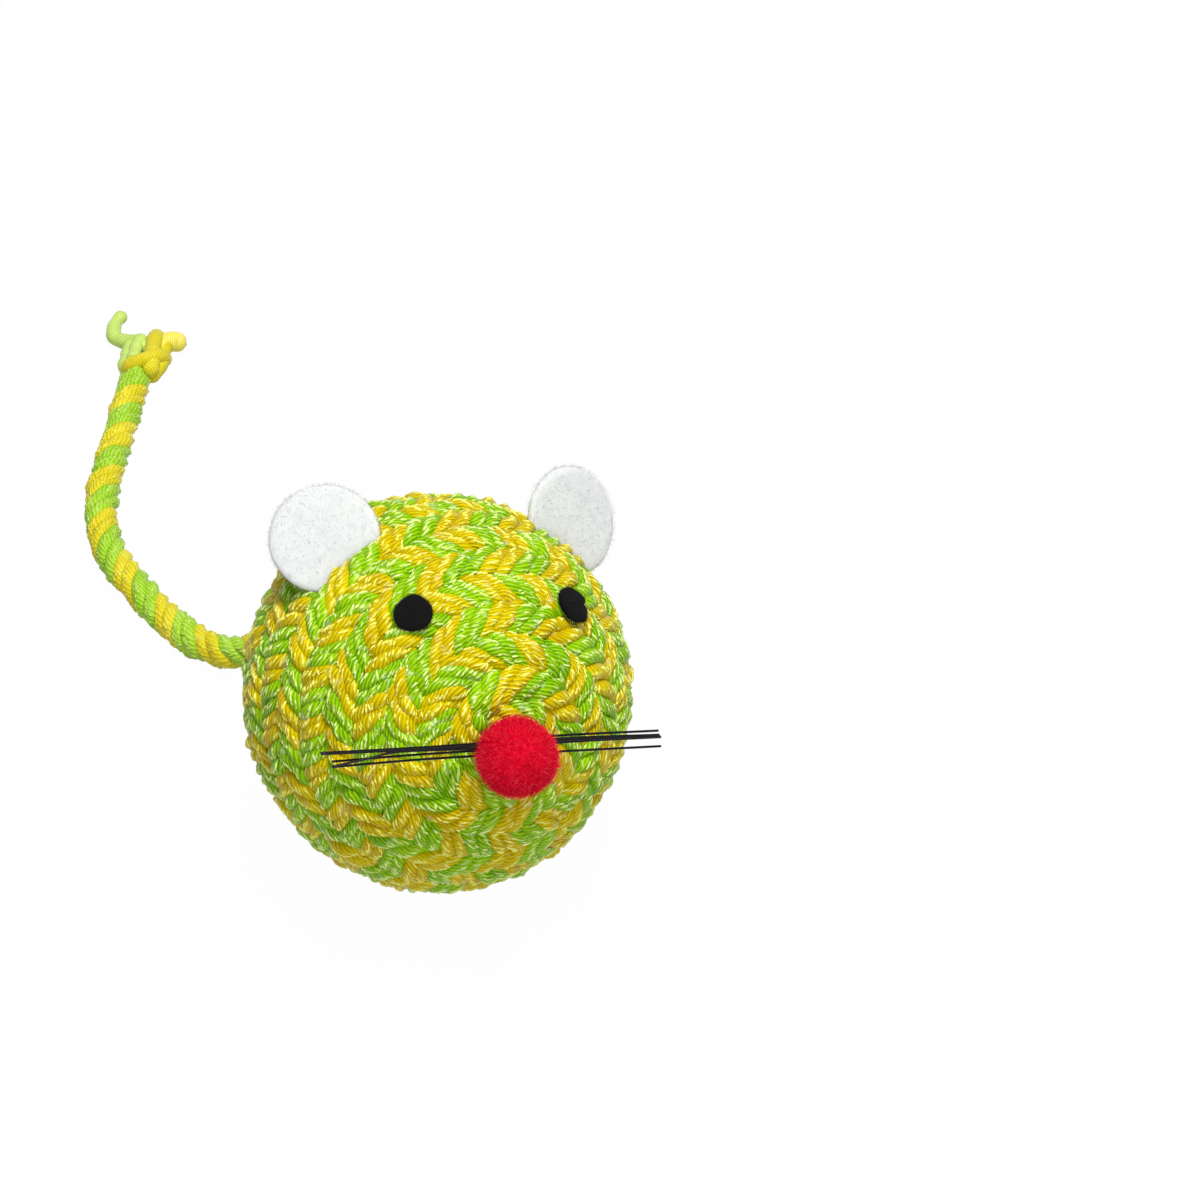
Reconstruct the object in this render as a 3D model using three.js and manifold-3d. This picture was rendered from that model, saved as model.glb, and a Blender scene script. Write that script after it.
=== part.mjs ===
// Mouse cat toy: a foam ball wound with two ropes side by side, with a rope tail that ends in a knot,
// two felt ears, two felt eyes, a pompom nose and five whiskers.
// Millimetres, +Z up. The origin is the middle of the flat that the ball rests on, under its centre.
// The nose points towards -Y and up, and the ball is rolled a little to the toy's left.

import * as THREE from "three";
import { mergeVertices } from "three/addons/utils/BufferGeometryUtils.js";
import Module from "manifold-3d";

const wasm = await Module();
wasm.setup();

// Clearances
const SEAT_GAP = 0.3;
const TURN_GAP = 0.45;
const EAR_SEAT_GAP = 0.6;

// Ball and its pose
const BALL_DIAMETER = 60;
const NOSE_UP_ANGLE = THREE.MathUtils.degToRad(25.2);
const ROLL_ANGLE = THREE.MathUtils.degToRad(15.2);

// Wound rope: pressed flat against its neighbours, so a little thinner than the free tail
const WOUND_ROPE_DIAMETER = 4.3;
const HOOK_RADIUS = 2.6;
const STUB_BEND_RADIUS = 2.6;
const ROPE_SIDES = 6;
const STEPS_PER_TURN = 24;
const HOOK_STEPS = 8;
const STUB_BEND_STEPS = 5;
const FLAT_SHARE = 0.1;
const SHORTEST_STEP_SHARE = 1 / 3;
const HOOK_PRECISION = 1e-9;
const GAP_CHECK_STEPS = 4;

// Core
const CORE_FACETS = 28;

// Tail, knot and loose yarn ends
const TAIL_DIAMETER = 5.2;
const TAIL_SIDES = 8;
const TAIL_STEPS = 14;
const KNOT_DIAMETER = 6.8;
const KNOT_LENGTH = 6;
const KNOT_FACETS = 12;
const KNOT_BULGE_SHARES = [0.62, 0.9, 1, 0.94, 0.66];
const YARN_DIAMETER = 2;
const YARN_END_SIDES = 8;
const YARN_END_STEPS = 6;

// Ears and eyes
const EAR_DIAMETER = 17;
const EAR_THICKNESS = 1.5;
const EAR_FACETS = 44;
const EAR_LEFT_PLACE = { stand: 3.1, sideAngle: 38.6, riseAngle: 90, turnAngle: 18.5, leanAngle: 16.7 };
const EAR_RIGHT_PLACE = { stand: 2.4, sideAngle: 38.1, riseAngle: 87.6, turnAngle: 26.5, leanAngle: 32.6 };
const EYE_DIAMETER = 5.9;
const EYE_THICKNESS = 1;
const EYE_SIDE_ANGLE = THREE.MathUtils.degToRad(25.3);
const EYE_RISE_ANGLE = THREE.MathUtils.degToRad(43.2);
const EYE_FACETS = 24;

// Nose and whiskers
const NOSE_DIAMETER = 12.7;
const NOSE_STAND = 3.6;
const NOSE_FACETS = 24;
const NOSE_SEAT_STEPS = 3;
const NOSE_DOME_STEPS = 12;
const WHISKER_DIAMETER = 0.45;
const WHISKER_LEFT_LENGTH = 23.5;
const WHISKER_RIGHT_LENGTH = 30.5;
const WHISKER_SIDES = 6;
const WHISKER_STEPS = 4;

// Each whisker's layer, its height at the nose and how far its right tip hangs,
// as shares of a whisker's pitch
const WHISKER_SHARES = [
  { layer: 0, rise: 2.4, hang: 0 },
  { layer: 1, rise: 1.9, hang: 1.9 },
  { layer: 0, rise: 1.2, hang: 0.1 },
  { layer: 1, rise: 0.9, hang: 2.3 },
  { layer: 0, rise: -0.7, hang: 0.4 },
];

// Worked out from the sizes above
const ballRadius = BALL_DIAMETER / 2;
const woundRadius = WOUND_ROPE_DIAMETER / 2;
const centreRadius = ballRadius - woundRadius;
const rowPitch = WOUND_ROPE_DIAMETER + TURN_GAP;
const flatDepth = FLAT_SHARE * WOUND_ROPE_DIAMETER;
const whiskerPitch = WHISKER_DIAMETER + SEAT_GAP;

// The toy's own frame: +X to its left, +Y to its tail, +Z up through its crown, from the ball's centre
const toy = new THREE.Group();
toy.rotation.set(-NOSE_UP_ANGLE, ROLL_ANGLE, 0);
toy.position.z = ballRadius - flatDepth;
toy.updateMatrixWorld(true);

const model = new THREE.Group();
model.add(toy);

const materials = {
  rope: new THREE.MeshStandardMaterial({ color: 0xb5cb35, roughness: 0.55, metalness: 0 }),
  yellowYarn: new THREE.MeshStandardMaterial({ color: 0xe1c319, roughness: 0.55, metalness: 0 }),
  greenYarn: new THREE.MeshStandardMaterial({ color: 0x82cd2d, roughness: 0.55, metalness: 0 }),
  foam: new THREE.MeshStandardMaterial({ color: 0xe9e6d8, roughness: 0.95, metalness: 0 }),
  whiteFelt: new THREE.MeshStandardMaterial({ color: 0xf3f4f6, roughness: 0.95, metalness: 0 }),
  blackFelt: new THREE.MeshStandardMaterial({ color: 0x161618, roughness: 0.95, metalness: 0 }),
  pompom: new THREE.MeshStandardMaterial({ color: 0xd7142d, roughness: 0.95, metalness: 0 }),
  monofilament: new THREE.MeshStandardMaterial({ color: 0x101012, roughness: 0.3, metalness: 0 }),
};

function addPiece(parent, name, geometry, material) {
  const mesh = new THREE.Mesh(geometry, material);
  mesh.name = name;
  parent.add(mesh);
  return mesh;
}

// Solids for boolean cuts

function toSolid(geometry) {
  const bare = geometry.clone();
  bare.deleteAttribute("normal");
  bare.deleteAttribute("uv");
  const merged = mergeVertices(bare);
  const vertProperties = new Float32Array(merged.attributes.position.array);
  const triVerts = new Uint32Array(merged.index.array);
  return new wasm.Manifold(new wasm.Mesh({ numProp: 3, vertProperties, triVerts }));
}

function toGeometry(solid) {
  const mesh = solid.getMesh();
  const geometry = new THREE.BufferGeometry();
  geometry.setAttribute("position", new THREE.BufferAttribute(new Float32Array(mesh.vertProperties), 3));
  geometry.setIndex(new THREE.BufferAttribute(new Uint32Array(mesh.triVerts), 1));
  geometry.computeVertexNormals();
  return geometry;
}

// A closed tube of a regular section along a list of points
function tubeAlong(points, radius, sides, firstNormal) {
  const positions = [];
  const indices = [];
  const normal = firstNormal.clone();
  points.forEach((point, i) => {
    const ahead = points[Math.min(i + 1, points.length - 1)];
    const behind = points[Math.max(i - 1, 0)];
    const tangent = ahead.clone().sub(behind).normalize();
    normal.addScaledVector(tangent, -normal.dot(tangent)).normalize();
    const side = tangent.clone().cross(normal);
    for (let k = 0; k < sides; k += 1) {
      const turn = (2 * Math.PI * k) / sides;
      const corner = point.clone();
      corner.addScaledVector(normal, radius * Math.cos(turn));
      corner.addScaledVector(side, radius * Math.sin(turn));
      positions.push(corner.x, corner.y, corner.z);
    }
  });
  for (let i = 0; i < points.length - 1; i += 1) {
    for (let k = 0; k < sides; k += 1) {
      const a = i * sides + k;
      const b = i * sides + ((k + 1) % sides);
      indices.push(a, b, b + sides, a, b + sides, a + sides);
    }
  }
  const last = (points.length - 1) * sides;
  for (let k = 1; k < sides - 1; k += 1) {
    indices.push(0, k + 1, k);
    indices.push(last, last + k, last + k + 1);
  }
  const geometry = new THREE.BufferGeometry();
  geometry.setAttribute("position", new THREE.Float32BufferAttribute(positions, 3));
  geometry.setIndex(indices);
  geometry.computeVertexNormals();
  return geometry;
}

// Winding: both ropes spiral from the nose to the tail, half a turn apart, round the toy's Y axis.
// On a flat map round a pole, a rope's end runs straight out from the pole and hooks into the spiral.

function onBall(poleDistance, turn, lift, pole) {
  const angle = poleDistance / centreRadius;
  const out = centreRadius * Math.sin(angle);
  const along = centreRadius * Math.cos(angle) + lift;
  return new THREE.Vector3(out * Math.sin(turn), pole * along, out * Math.cos(turn));
}

// The hook's points from the pole outwards: distance from the pole, turn from the straight run, and lift
function hookFrom(runStart) {
  const runEnd = runStart + WOUND_ROPE_DIAMETER;
  const advance = rowPitch / Math.PI;
  const place = (bend) => {
    const x = runEnd + HOOK_RADIUS * Math.sin(bend);
    const y = HOOK_RADIUS * (1 - Math.cos(bend));
    return { distance: Math.hypot(x, y), turn: Math.atan2(y, x) };
  };
  let low = Math.PI / 2;
  let high = Math.PI;
  while (high - low > HOOK_PRECISION) {
    const bend = (low + high) / 2;
    const { distance, turn } = place(bend);
    const slope = Math.PI / 2 - Math.atan(advance / distance);
    if (bend - turn < slope) {
      low = bend;
    } else {
      high = bend;
    }
  }
  const runHeight = centreRadius * Math.cos(runStart / centreRadius);
  const fullLift = runHeight - centreRadius * Math.cos(runEnd / centreRadius);
  const points = [];
  for (let i = 0; i <= HOOK_STEPS; i += 1) {
    const { distance, turn } = place((low * i) / HOOK_STEPS);
    points.push({ distance, turn, lift: fullLift * (1 - i / HOOK_STEPS) });
  }
  const join = points[HOOK_STEPS];
  return { runStart, runHeight, points, joinDistance: join.distance, joinTurn: join.turn };
}

// The ball's lowest point, where a turn of the rope that becomes the tail passes under the centre
const down = new THREE.Vector3(0, 0, -1).transformDirection(toy.matrixWorld.clone().invert());
const lowestTurn = Math.atan2(down.x, down.z);
const lowestDistance = centreRadius * Math.acos(-down.y);

const frontHook = hookFrom(SEAT_GAP / 2);
const rearHook = hookFrom(woundRadius + SEAT_GAP);
const spiralLength = Math.PI * centreRadius - frontHook.joinDistance - rearHook.joinDistance;
const spiralTurn = (Math.PI * spiralLength) / rowPitch;

// A point of a straight run over a pole, at a distance from its axis and a height over the ball's centre
function overPole(distance, height, turn, pole) {
  return new THREE.Vector3(distance * Math.sin(turn), pole * height, distance * Math.cos(turn));
}

function windingPath(joinTurn, leavesAsTail) {
  const path = [];
  const frontRunTurn = joinTurn - frontHook.joinTurn;
  path.push(overPole(frontHook.runStart, frontHook.runHeight, frontRunTurn, -1));
  for (const { distance, turn, lift } of frontHook.points) {
    path.push(onBall(distance, frontRunTurn + turn, lift, -1));
  }
  const step = (2 * Math.PI) / STEPS_PER_TURN;
  const shortest = step * SHORTEST_STEP_SHARE;
  const stepsToJoin = Math.ceil((joinTurn - lowestTurn + shortest) / step);
  const firstStep = step * stepsToJoin + lowestTurn - joinTurn;
  for (let turn = firstStep; turn < spiralTurn - shortest; turn += step) {
    const distance = frontHook.joinDistance + (rowPitch * turn) / Math.PI;
    path.push(onBall(distance, joinTurn + turn, 0, -1));
  }
  const rearRunTurn = joinTurn + spiralTurn + rearHook.joinTurn;
  for (const { distance, turn, lift } of rearHook.points.toReversed()) {
    path.push(onBall(distance, rearRunTurn - turn, lift, 1));
  }
  const height = rearHook.runHeight;
  if (!leavesAsTail) {
    path.push(overPole(rearHook.runStart, height, rearRunTurn, 1));
    return path;
  }
  for (let i = 0; i <= STUB_BEND_STEPS; i += 1) {
    const bend = ((Math.PI / 2) * i) / STUB_BEND_STEPS;
    const inward = STUB_BEND_RADIUS * (1 - Math.sin(bend));
    const outward = height + STUB_BEND_RADIUS * (1 - Math.cos(bend));
    path.push(overPole(inward, outward, rearRunTurn, 1));
  }
  path.push(new THREE.Vector3(0, stubEndDistance, 0));
  return path;
}

const stubEndDistance = rearHook.runHeight + STUB_BEND_RADIUS + WOUND_ROPE_DIAMETER;
const startTurn = lowestTurn - (Math.PI * (lowestDistance - frontHook.joinDistance)) / rowPitch;
const ropeSPath = windingPath(startTurn + Math.PI, false);
const ropeZPath = windingPath(startTurn, true);

// The least gap between two stretches of rope, measured on points along both centre lines
function pointsAlong(path) {
  const dense = [];
  let length = 0;
  for (let i = 0; i < path.length - 1; i += 1) {
    const stretch = path[i].distanceTo(path[i + 1]);
    for (let k = 0; k < GAP_CHECK_STEPS; k += 1) {
      const share = k / GAP_CHECK_STEPS;
      dense.push({ point: path[i].clone().lerp(path[i + 1], share), at: length + stretch * share });
    }
    length += stretch;
  }
  dense.push({ point: path[path.length - 1], at: length });
  return dense;
}

function leastGap(pathA, pathB, neighbourLength) {
  const a = pointsAlong(pathA);
  const b = pointsAlong(pathB);
  let least = Infinity;
  for (const p of a) {
    for (const q of b) {
      if (Math.abs(p.at - q.at) >= neighbourLength) {
        least = Math.min(least, p.point.distanceTo(q.point));
      }
    }
  }
  return least - WOUND_ROPE_DIAMETER;
}

const ownStretch = Math.PI * (HOOK_RADIUS + woundRadius);
for (const [name, path] of [["winding_rope_s", ropeSPath], ["winding_rope_z", ropeZPath]]) {
  const length = pointsAlong(path).at(-1).at;
  const gap = leastGap(path, path, ownStretch);
  console.log(`${name}: ${length.toFixed(0)} mm long, least gap to itself ${gap.toFixed(2)} mm`);
}
console.log(`turns of both ropes together: ${(spiralTurn / Math.PI).toFixed(1)}`);

// The floor cuts the lowest turns flat
const floorSize = 2 * BALL_DIAMETER;
const floorBlock = new THREE.BoxGeometry(floorSize, floorSize, floorSize);
floorBlock.translate(0, 0, -floorSize / 2);
const floorSolid = toSolid(floorBlock);

function addWinding(name, path) {
  const outward = path[0].clone().setX(0).setZ(0).normalize();
  const tube = tubeAlong(path, woundRadius, ROPE_SIDES, outward);
  tube.applyMatrix4(toy.matrixWorld);
  addPiece(model, name, toGeometry(toSolid(tube).subtract(floorSolid)), materials.rope);
}

addWinding("winding_rope_s", ropeSPath);
addWinding("winding_rope_z", ropeZPath);

// Core: the foam ball under the winding
const coreRadius = centreRadius - woundRadius - SEAT_GAP;
const chordShare = Math.cos(Math.PI / STEPS_PER_TURN);
const core = new THREE.SphereGeometry(coreRadius * chordShare, CORE_FACETS, CORE_FACETS / 2);
addPiece(toy, "foam_core", core, materials.foam);

// Ears: felt discs that lean back, with a foot that follows the ball
function sideways(sideAngle, riseAngle, side) {
  const forward = Math.cos(sideAngle) * Math.cos(riseAngle);
  const up = Math.cos(sideAngle) * Math.sin(riseAngle);
  return new THREE.Vector3(side * Math.sin(sideAngle), -forward, up);
}

const { degToRad } = THREE.MathUtils;
const earSeat = ballRadius + EAR_SEAT_GAP;
const seatBall = new THREE.SphereGeometry(earSeat, 2 * EAR_FACETS, EAR_FACETS);
const earSeatSolid = toSolid(seatBall);

function addEar(name, side, { stand, sideAngle, riseAngle, turnAngle, leanAngle }) {
  const out = sideways(degToRad(sideAngle), degToRad(riseAngle), side);
  const level = Math.cos(degToRad(leanAngle));
  const facing = new THREE.Vector3(
    side * level * Math.sin(degToRad(turnAngle)),
    -level * Math.cos(degToRad(turnAngle)),
    Math.sin(degToRad(leanAngle)),
  );
  const across = out.clone().cross(facing).normalize();
  const rise = facing.clone().cross(across);
  const centre = out.clone().multiplyScalar(ballRadius + stand);
  const disc = new THREE.CylinderGeometry(EAR_DIAMETER / 2, EAR_DIAMETER / 2, EAR_THICKNESS, EAR_FACETS);
  disc.rotateX(Math.PI / 2);
  disc.applyMatrix4(new THREE.Matrix4().makeBasis(across, rise, facing).setPosition(centre));
  addPiece(toy, name, toGeometry(toSolid(disc).subtract(earSeatSolid)), materials.whiteFelt);
  const offset = centre.dot(facing);
  const foot = Math.sqrt(earSeat ** 2 - offset ** 2);
  const hinge = facing.clone().multiplyScalar(offset).addScaledVector(rise, foot);
  hinge.applyMatrix4(toy.matrixWorld);
  const axis = across.transformDirection(toy.matrixWorld);
  console.log(`${name} hinge at ${describe(hinge)}, axis ${describe(axis)}`);
}

function describe(vector) {
  return vector.toArray().map((value) => value.toFixed(4)).join(", ");
}

addEar("ear_left", 1, EAR_LEFT_PLACE);
addEar("ear_right", -1, EAR_RIGHT_PLACE);

// Eyes: felt discs that lie on the turns
function addEye(name, side) {
  const out = sideways(EYE_SIDE_ANGLE, EYE_RISE_ANGLE, side);
  const felt = new THREE.CylinderGeometry(EYE_DIAMETER / 2, EYE_DIAMETER / 2, EYE_THICKNESS, EYE_FACETS);
  const eye = addPiece(toy, name, felt, materials.blackFelt);
  eye.quaternion.setFromUnitVectors(new THREE.Vector3(0, 1, 0), out);
  eye.position.copy(out).multiplyScalar(ballRadius + SEAT_GAP + EYE_THICKNESS / 2);
}

addEye("eye_left", 1);
addEye("eye_right", -1);

// Nose: a pompom that sits on the ball, over the whiskers
function noseProfile() {
  const seat = ballRadius + SEAT_GAP;
  const centre = ballRadius + NOSE_STAND;
  const radius = NOSE_DIAMETER / 2;
  const footHeight = (seat ** 2 + centre ** 2 - radius ** 2) / (2 * centre);
  const footRadius = Math.sqrt(seat ** 2 - footHeight ** 2);
  const seatAngle = Math.atan2(footRadius, footHeight);
  const startAngle = Math.atan2(footHeight - centre, footRadius);
  const profile = [];
  for (let i = 0; i < NOSE_SEAT_STEPS; i += 1) {
    const angle = (seatAngle * i) / NOSE_SEAT_STEPS;
    profile.push(new THREE.Vector2(seat * Math.sin(angle), seat * Math.cos(angle)));
  }
  for (let i = 0; i < NOSE_DOME_STEPS; i += 1) {
    const angle = startAngle + ((Math.PI / 2 - startAngle) * i) / NOSE_DOME_STEPS;
    profile.push(new THREE.Vector2(radius * Math.cos(angle), centre + radius * Math.sin(angle)));
  }
  profile.push(new THREE.Vector2(0, centre + radius));
  return profile;
}

const whiskerRises = WHISKER_SHARES.map(({ rise }) => rise * whiskerPitch);
const whiskerLayers = 1 + Math.max(...WHISKER_SHARES.map(({ layer }) => layer));

function whiskerHeight(layer) {
  return ballRadius + SEAT_GAP + WHISKER_DIAMETER / 2 + layer * whiskerPitch;
}

function addNose() {
  const pompom = new THREE.LatheGeometry(noseProfile(), NOSE_FACETS);
  pompom.rotateX(Math.PI);
  const slotTop = whiskerHeight(whiskerLayers - 1) + WHISKER_DIAMETER / 2 + SEAT_GAP;
  const slotDepth = slotTop - ballRadius / 2;
  const highest = Math.max(...whiskerRises) + whiskerPitch;
  const lowest = Math.min(...whiskerRises) - whiskerPitch;
  const slot = new THREE.BoxGeometry(BALL_DIAMETER, slotDepth, highest - lowest);
  slot.translate(0, slotDepth / 2 - slotTop, (highest + lowest) / 2);
  const solid = toSolid(pompom).subtract(toSolid(slot));
  addPiece(toy, "nose_pompom", toGeometry(solid), materials.pompom);
}

addNose();

// Tubes of extruded section
function sectionOf(radius, sides) {
  const corners = [];
  for (let k = 0; k < sides; k += 1) {
    const turn = (2 * Math.PI * (k + 1 / 2)) / sides;
    corners.push(new THREE.Vector2(radius * Math.cos(turn), radius * Math.sin(turn)));
  }
  return new THREE.Shape(corners);
}

function extrudedTube(curve, radius, sides, steps) {
  const section = sectionOf(radius, sides);
  return new THREE.ExtrudeGeometry(section, { steps, extrudePath: curve, bevelEnabled: false });
}

// Whiskers: one monofilament each, across the face behind the nose
WHISKER_SHARES.forEach(({ layer, rise, hang }, i) => {
  const height = -whiskerHeight(layer);
  const atNose = rise * whiskerPitch;
  const rightTip = new THREE.Vector3(-WHISKER_RIGHT_LENGTH, height, atNose - hang * whiskerPitch);
  const middle = new THREE.Vector3(0, height, atNose);
  const leftTip = new THREE.Vector3(WHISKER_LEFT_LENGTH, height, atNose);
  const line = new THREE.CatmullRomCurve3([rightTip, middle, leftTip]);
  const whisker = extrudedTube(line, WHISKER_DIAMETER / 2, WHISKER_SIDES, WHISKER_STEPS);
  addPiece(toy, `whisker_${i + 1}`, whisker, materials.monofilament);
});

// Tail: it starts in a round end at its pivot, a gap beyond the rope's stub, and comes to lie on the floor
const tailRadius = TAIL_DIAMETER / 2;
const tailPivot = new THREE.Vector3(0, stubEndDistance + SEAT_GAP + tailRadius, 0);
tailPivot.applyMatrix4(toy.matrixWorld);
console.log(`tail pivot at ${describe(tailPivot)}`);

const TAIL_ROUTE = [
  [-0.8, 37.6, 11.7], [-3.1, 40.4, 9.8], [-6.7, 42.0, 7.9], [-10.7, 42.6, 6.0], [-14.6, 43.8, 4.3],
  [-18.0, 46.6, 3.1], [-20.6, 50.6, 2.7], [-22.5, 55.6, 2.65], [-24.2, 62.4, 2.65], [-25.4, 69.5, 2.65],
  [-25.7, 77.0, 2.65], [-24.2, 84.3, 2.65], [-21.3, 90.4, 2.65], [-17.8, 96.0, 2.65], [-14.6, 100.8, 2.65],
  [-11.5, 105.6, 2.65], [-8.7, 109.9, 2.65], [-5.9, 113.9, 2.65],
];
const GREEN_END_ROUTE = [
  [-2.7, 120.4, 2.3], [-2.5, 121.6, 2.6], [-4.0, 123.8, 2.0], [-5.1, 126.2, 1.5], [-4.3, 128.8, 1.3],
  [-2.8, 130.6, 1.2], [-1.3, 131.4, 1.2],
];
const YELLOW_END_ROUTE = [[-0.1, 119.2, 3.2], [1.2, 119.5, 3.0], [3.4, 119.9, 2.4], [4.9, 118.9, 2.0]];

const toVectors = (route) => route.map((point) => new THREE.Vector3(...point));

const tailCurve = new THREE.CatmullRomCurve3([tailPivot, ...toVectors(TAIL_ROUTE)]);
const tailTube = extrudedTube(tailCurve, tailRadius, TAIL_SIDES, TAIL_STEPS);
const tailRound = new THREE.SphereGeometry(tailRadius, TAIL_SIDES, TAIL_SIDES / 2);
tailRound.translate(...tailPivot.toArray());
addPiece(model, "tail", toGeometry(toSolid(tailTube).add(toSolid(tailRound))), materials.rope);
console.log(`tail ${tailCurve.getLength().toFixed(1)} mm long`);

// Knot: a barrel in line with the end of the tail, resting on the floor
function addKnot() {
  const profile = [new THREE.Vector2(0, -KNOT_LENGTH / 2)];
  KNOT_BULGE_SHARES.forEach((share, i) => {
    const along = KNOT_LENGTH * (i / (KNOT_BULGE_SHARES.length - 1) - 1 / 2);
    profile.push(new THREE.Vector2((share * KNOT_DIAMETER) / 2, along));
  });
  profile.push(new THREE.Vector2(0, KNOT_LENGTH / 2));
  const barrel = new THREE.LatheGeometry(profile, KNOT_FACETS);
  const knot = addPiece(model, "tail_knot", barrel, materials.yellowYarn);
  const along = tailCurve.getTangent(1).setZ(0).normalize();
  knot.quaternion.setFromUnitVectors(new THREE.Vector3(0, 1, 0), along);
  knot.position.copy(tailCurve.getPoint(1)).addScaledVector(along, SEAT_GAP + KNOT_LENGTH / 2);
  knot.position.z = KNOT_DIAMETER / 2;
}

addKnot();

function addYarnEnd(name, route, diameter, material) {
  const curve = new THREE.CatmullRomCurve3(toVectors(route));
  addPiece(model, name, extrudedTube(curve, diameter / 2, YARN_END_SIDES, YARN_END_STEPS), material);
}

addYarnEnd("tail_yarn_end_green", GREEN_END_ROUTE, YARN_DIAMETER, materials.greenYarn);
addYarnEnd("tail_yarn_end_yellow", YELLOW_END_ROUTE, YARN_DIAMETER, materials.yellowYarn);

export default model;
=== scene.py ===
"""Looks of the mouse cat toy: yarn-twisted rope round a foam ball, felt ears and eyes, pompom nose,
whiskers and a knotted rope tail. Lengths are in millimetres until a mesh is made, and metres there."""

from math import asin, atan, ceil, cos, pi, radians, sin, sqrt

import bmesh
import bpy
import numpy as np
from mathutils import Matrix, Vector


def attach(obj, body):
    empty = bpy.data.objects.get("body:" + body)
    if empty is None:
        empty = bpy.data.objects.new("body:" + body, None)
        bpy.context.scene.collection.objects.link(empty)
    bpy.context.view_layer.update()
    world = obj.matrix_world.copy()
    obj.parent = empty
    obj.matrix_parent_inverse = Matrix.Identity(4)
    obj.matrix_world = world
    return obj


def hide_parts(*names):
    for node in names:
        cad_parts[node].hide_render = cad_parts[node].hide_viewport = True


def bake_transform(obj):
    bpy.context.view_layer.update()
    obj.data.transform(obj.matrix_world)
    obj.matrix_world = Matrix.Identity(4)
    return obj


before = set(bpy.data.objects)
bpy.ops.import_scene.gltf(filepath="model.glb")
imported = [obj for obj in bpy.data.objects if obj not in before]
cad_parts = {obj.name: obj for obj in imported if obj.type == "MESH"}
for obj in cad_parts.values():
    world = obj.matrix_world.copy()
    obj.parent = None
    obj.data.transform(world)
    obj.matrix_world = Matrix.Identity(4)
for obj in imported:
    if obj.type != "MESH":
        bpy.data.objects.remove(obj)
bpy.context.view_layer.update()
scene = bpy.context.scene

MM = 0.001
TURN = 2 * pi

# The toy's own frame, as in the solids
BALL_RADIUS = 30
NOSE_UP_ANGLE = radians(25.2)
ROLL_ANGLE = radians(15.2)
FLAT_DEPTH = 0.43

# Camera
CAMERA_AT = (-215.79, -512.92, 605.05)
CAMERA_TARGET = (26.85, -1.91, 39.36)

# Tail route, from the tail's pivot on, as in the solids
PIVOT_DISTANCE = 37.34
TAIL_ROUTE = [
    (-0.8, 37.6, 11.7), (-3.1, 40.4, 9.8), (-6.7, 42.0, 7.9), (-10.7, 42.6, 6.0), (-14.6, 43.8, 4.3),
    (-18.0, 46.6, 3.1), (-20.6, 50.6, 2.7), (-22.5, 55.6, 2.65), (-24.2, 62.4, 2.65), (-25.4, 69.5, 2.65),
    (-25.7, 77.0, 2.65), (-24.2, 84.3, 2.65), (-21.3, 90.4, 2.65), (-17.8, 96.0, 2.65),
    (-14.6, 100.8, 2.65), (-11.5, 105.6, 2.65), (-8.7, 109.9, 2.65), (-5.9, 113.9, 2.65),
]


# Frames and curves

SPLINE_CUTS = 40
WOBBLE_WAVES = 4
WOBBLE_PERIOD_RANGE = (0.6, 1.7)


def turn_about_x(angle):
    c, s = cos(angle), sin(angle)
    return np.array([[1, 0, 0], [0, c, -s], [0, s, c]])


def turn_about_y(angle):
    c, s = cos(angle), sin(angle)
    return np.array([[c, 0, s], [0, 1, 0], [-s, 0, c]])


TOY_TURN = turn_about_x(-NOSE_UP_ANGLE) @ turn_about_y(ROLL_ANGLE)
BALL_CENTRE = np.array([0, 0, BALL_RADIUS - FLAT_DEPTH])


def to_row(points):
    return np.asarray(points) @ TOY_TURN.T + BALL_CENTRE


def to_metres(point):
    return tuple(float(value) * MM for value in point)


def unit(vectors):
    return vectors / np.linalg.norm(vectors, axis=-1, keepdims=True)


def columns(*values):
    return np.stack(values, axis=1)


def lengths_along(points):
    steps = np.linalg.norm(np.diff(points, axis=0), axis=1)
    return np.concatenate([[0], np.cumsum(steps)])


def tangents_of(points):
    return unit(np.gradient(points, axis=0))


def square_to(vectors, tangents):
    """The part of vectors that is square to the tangents, made unit long."""
    return unit(vectors - np.sum(vectors * tangents, axis=-1, keepdims=True) * tangents)


def points_at(wanted, at, points):
    return np.stack([np.interp(wanted, at, points[:, i]) for i in range(3)], axis=-1)


def spline(points, step):
    """A centripetal Catmull-Rom curve through the points, cut into even steps."""
    p = np.asarray(points, dtype=float)
    p = np.vstack([2 * p[0] - p[1], p, 2 * p[-1] - p[-2]])
    dense = []
    for i in range(1, len(p) - 2):
        knots = [0]
        for a, b in zip(p[i - 1:i + 2], p[i:i + 3]):
            knots.append(knots[-1] + sqrt(np.linalg.norm(b - a)))
        t0, t1, t2, t3 = knots
        t = np.linspace(t1, t2, SPLINE_CUTS, endpoint=False)[:, None]

        def between(low, high, a, b):
            return (high - t) / (high - low) * a + (t - low) / (high - low) * b

        a1 = between(t0, t1, p[i - 1], p[i])
        a2 = between(t1, t2, p[i], p[i + 1])
        a3 = between(t2, t3, p[i + 1], p[i + 2])
        dense.append(between(t1, t2, between(t0, t2, a1, a2), between(t1, t3, a2, a3)))
    dense = np.vstack([*dense, p[-2]])
    at = lengths_along(dense)
    count = max(2, int(round(at[-1] / step)) + 1)
    return points_at(np.linspace(0, at[-1], count), at, dense)


def wobble(at, period, seed):
    """Smooth noise of about unit size along a length."""
    random = np.random.default_rng(seed)
    total = np.zeros_like(at)
    for _ in range(WOBBLE_WAVES):
        own = period * random.uniform(*WOBBLE_PERIOD_RANGE)
        total += np.sin(TURN * (at / own + random.uniform(0, 1)))
    return total / 2


def uneven(at, sway, seed):
    size, period = sway
    return size * wobble(at, period, seed)


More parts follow.
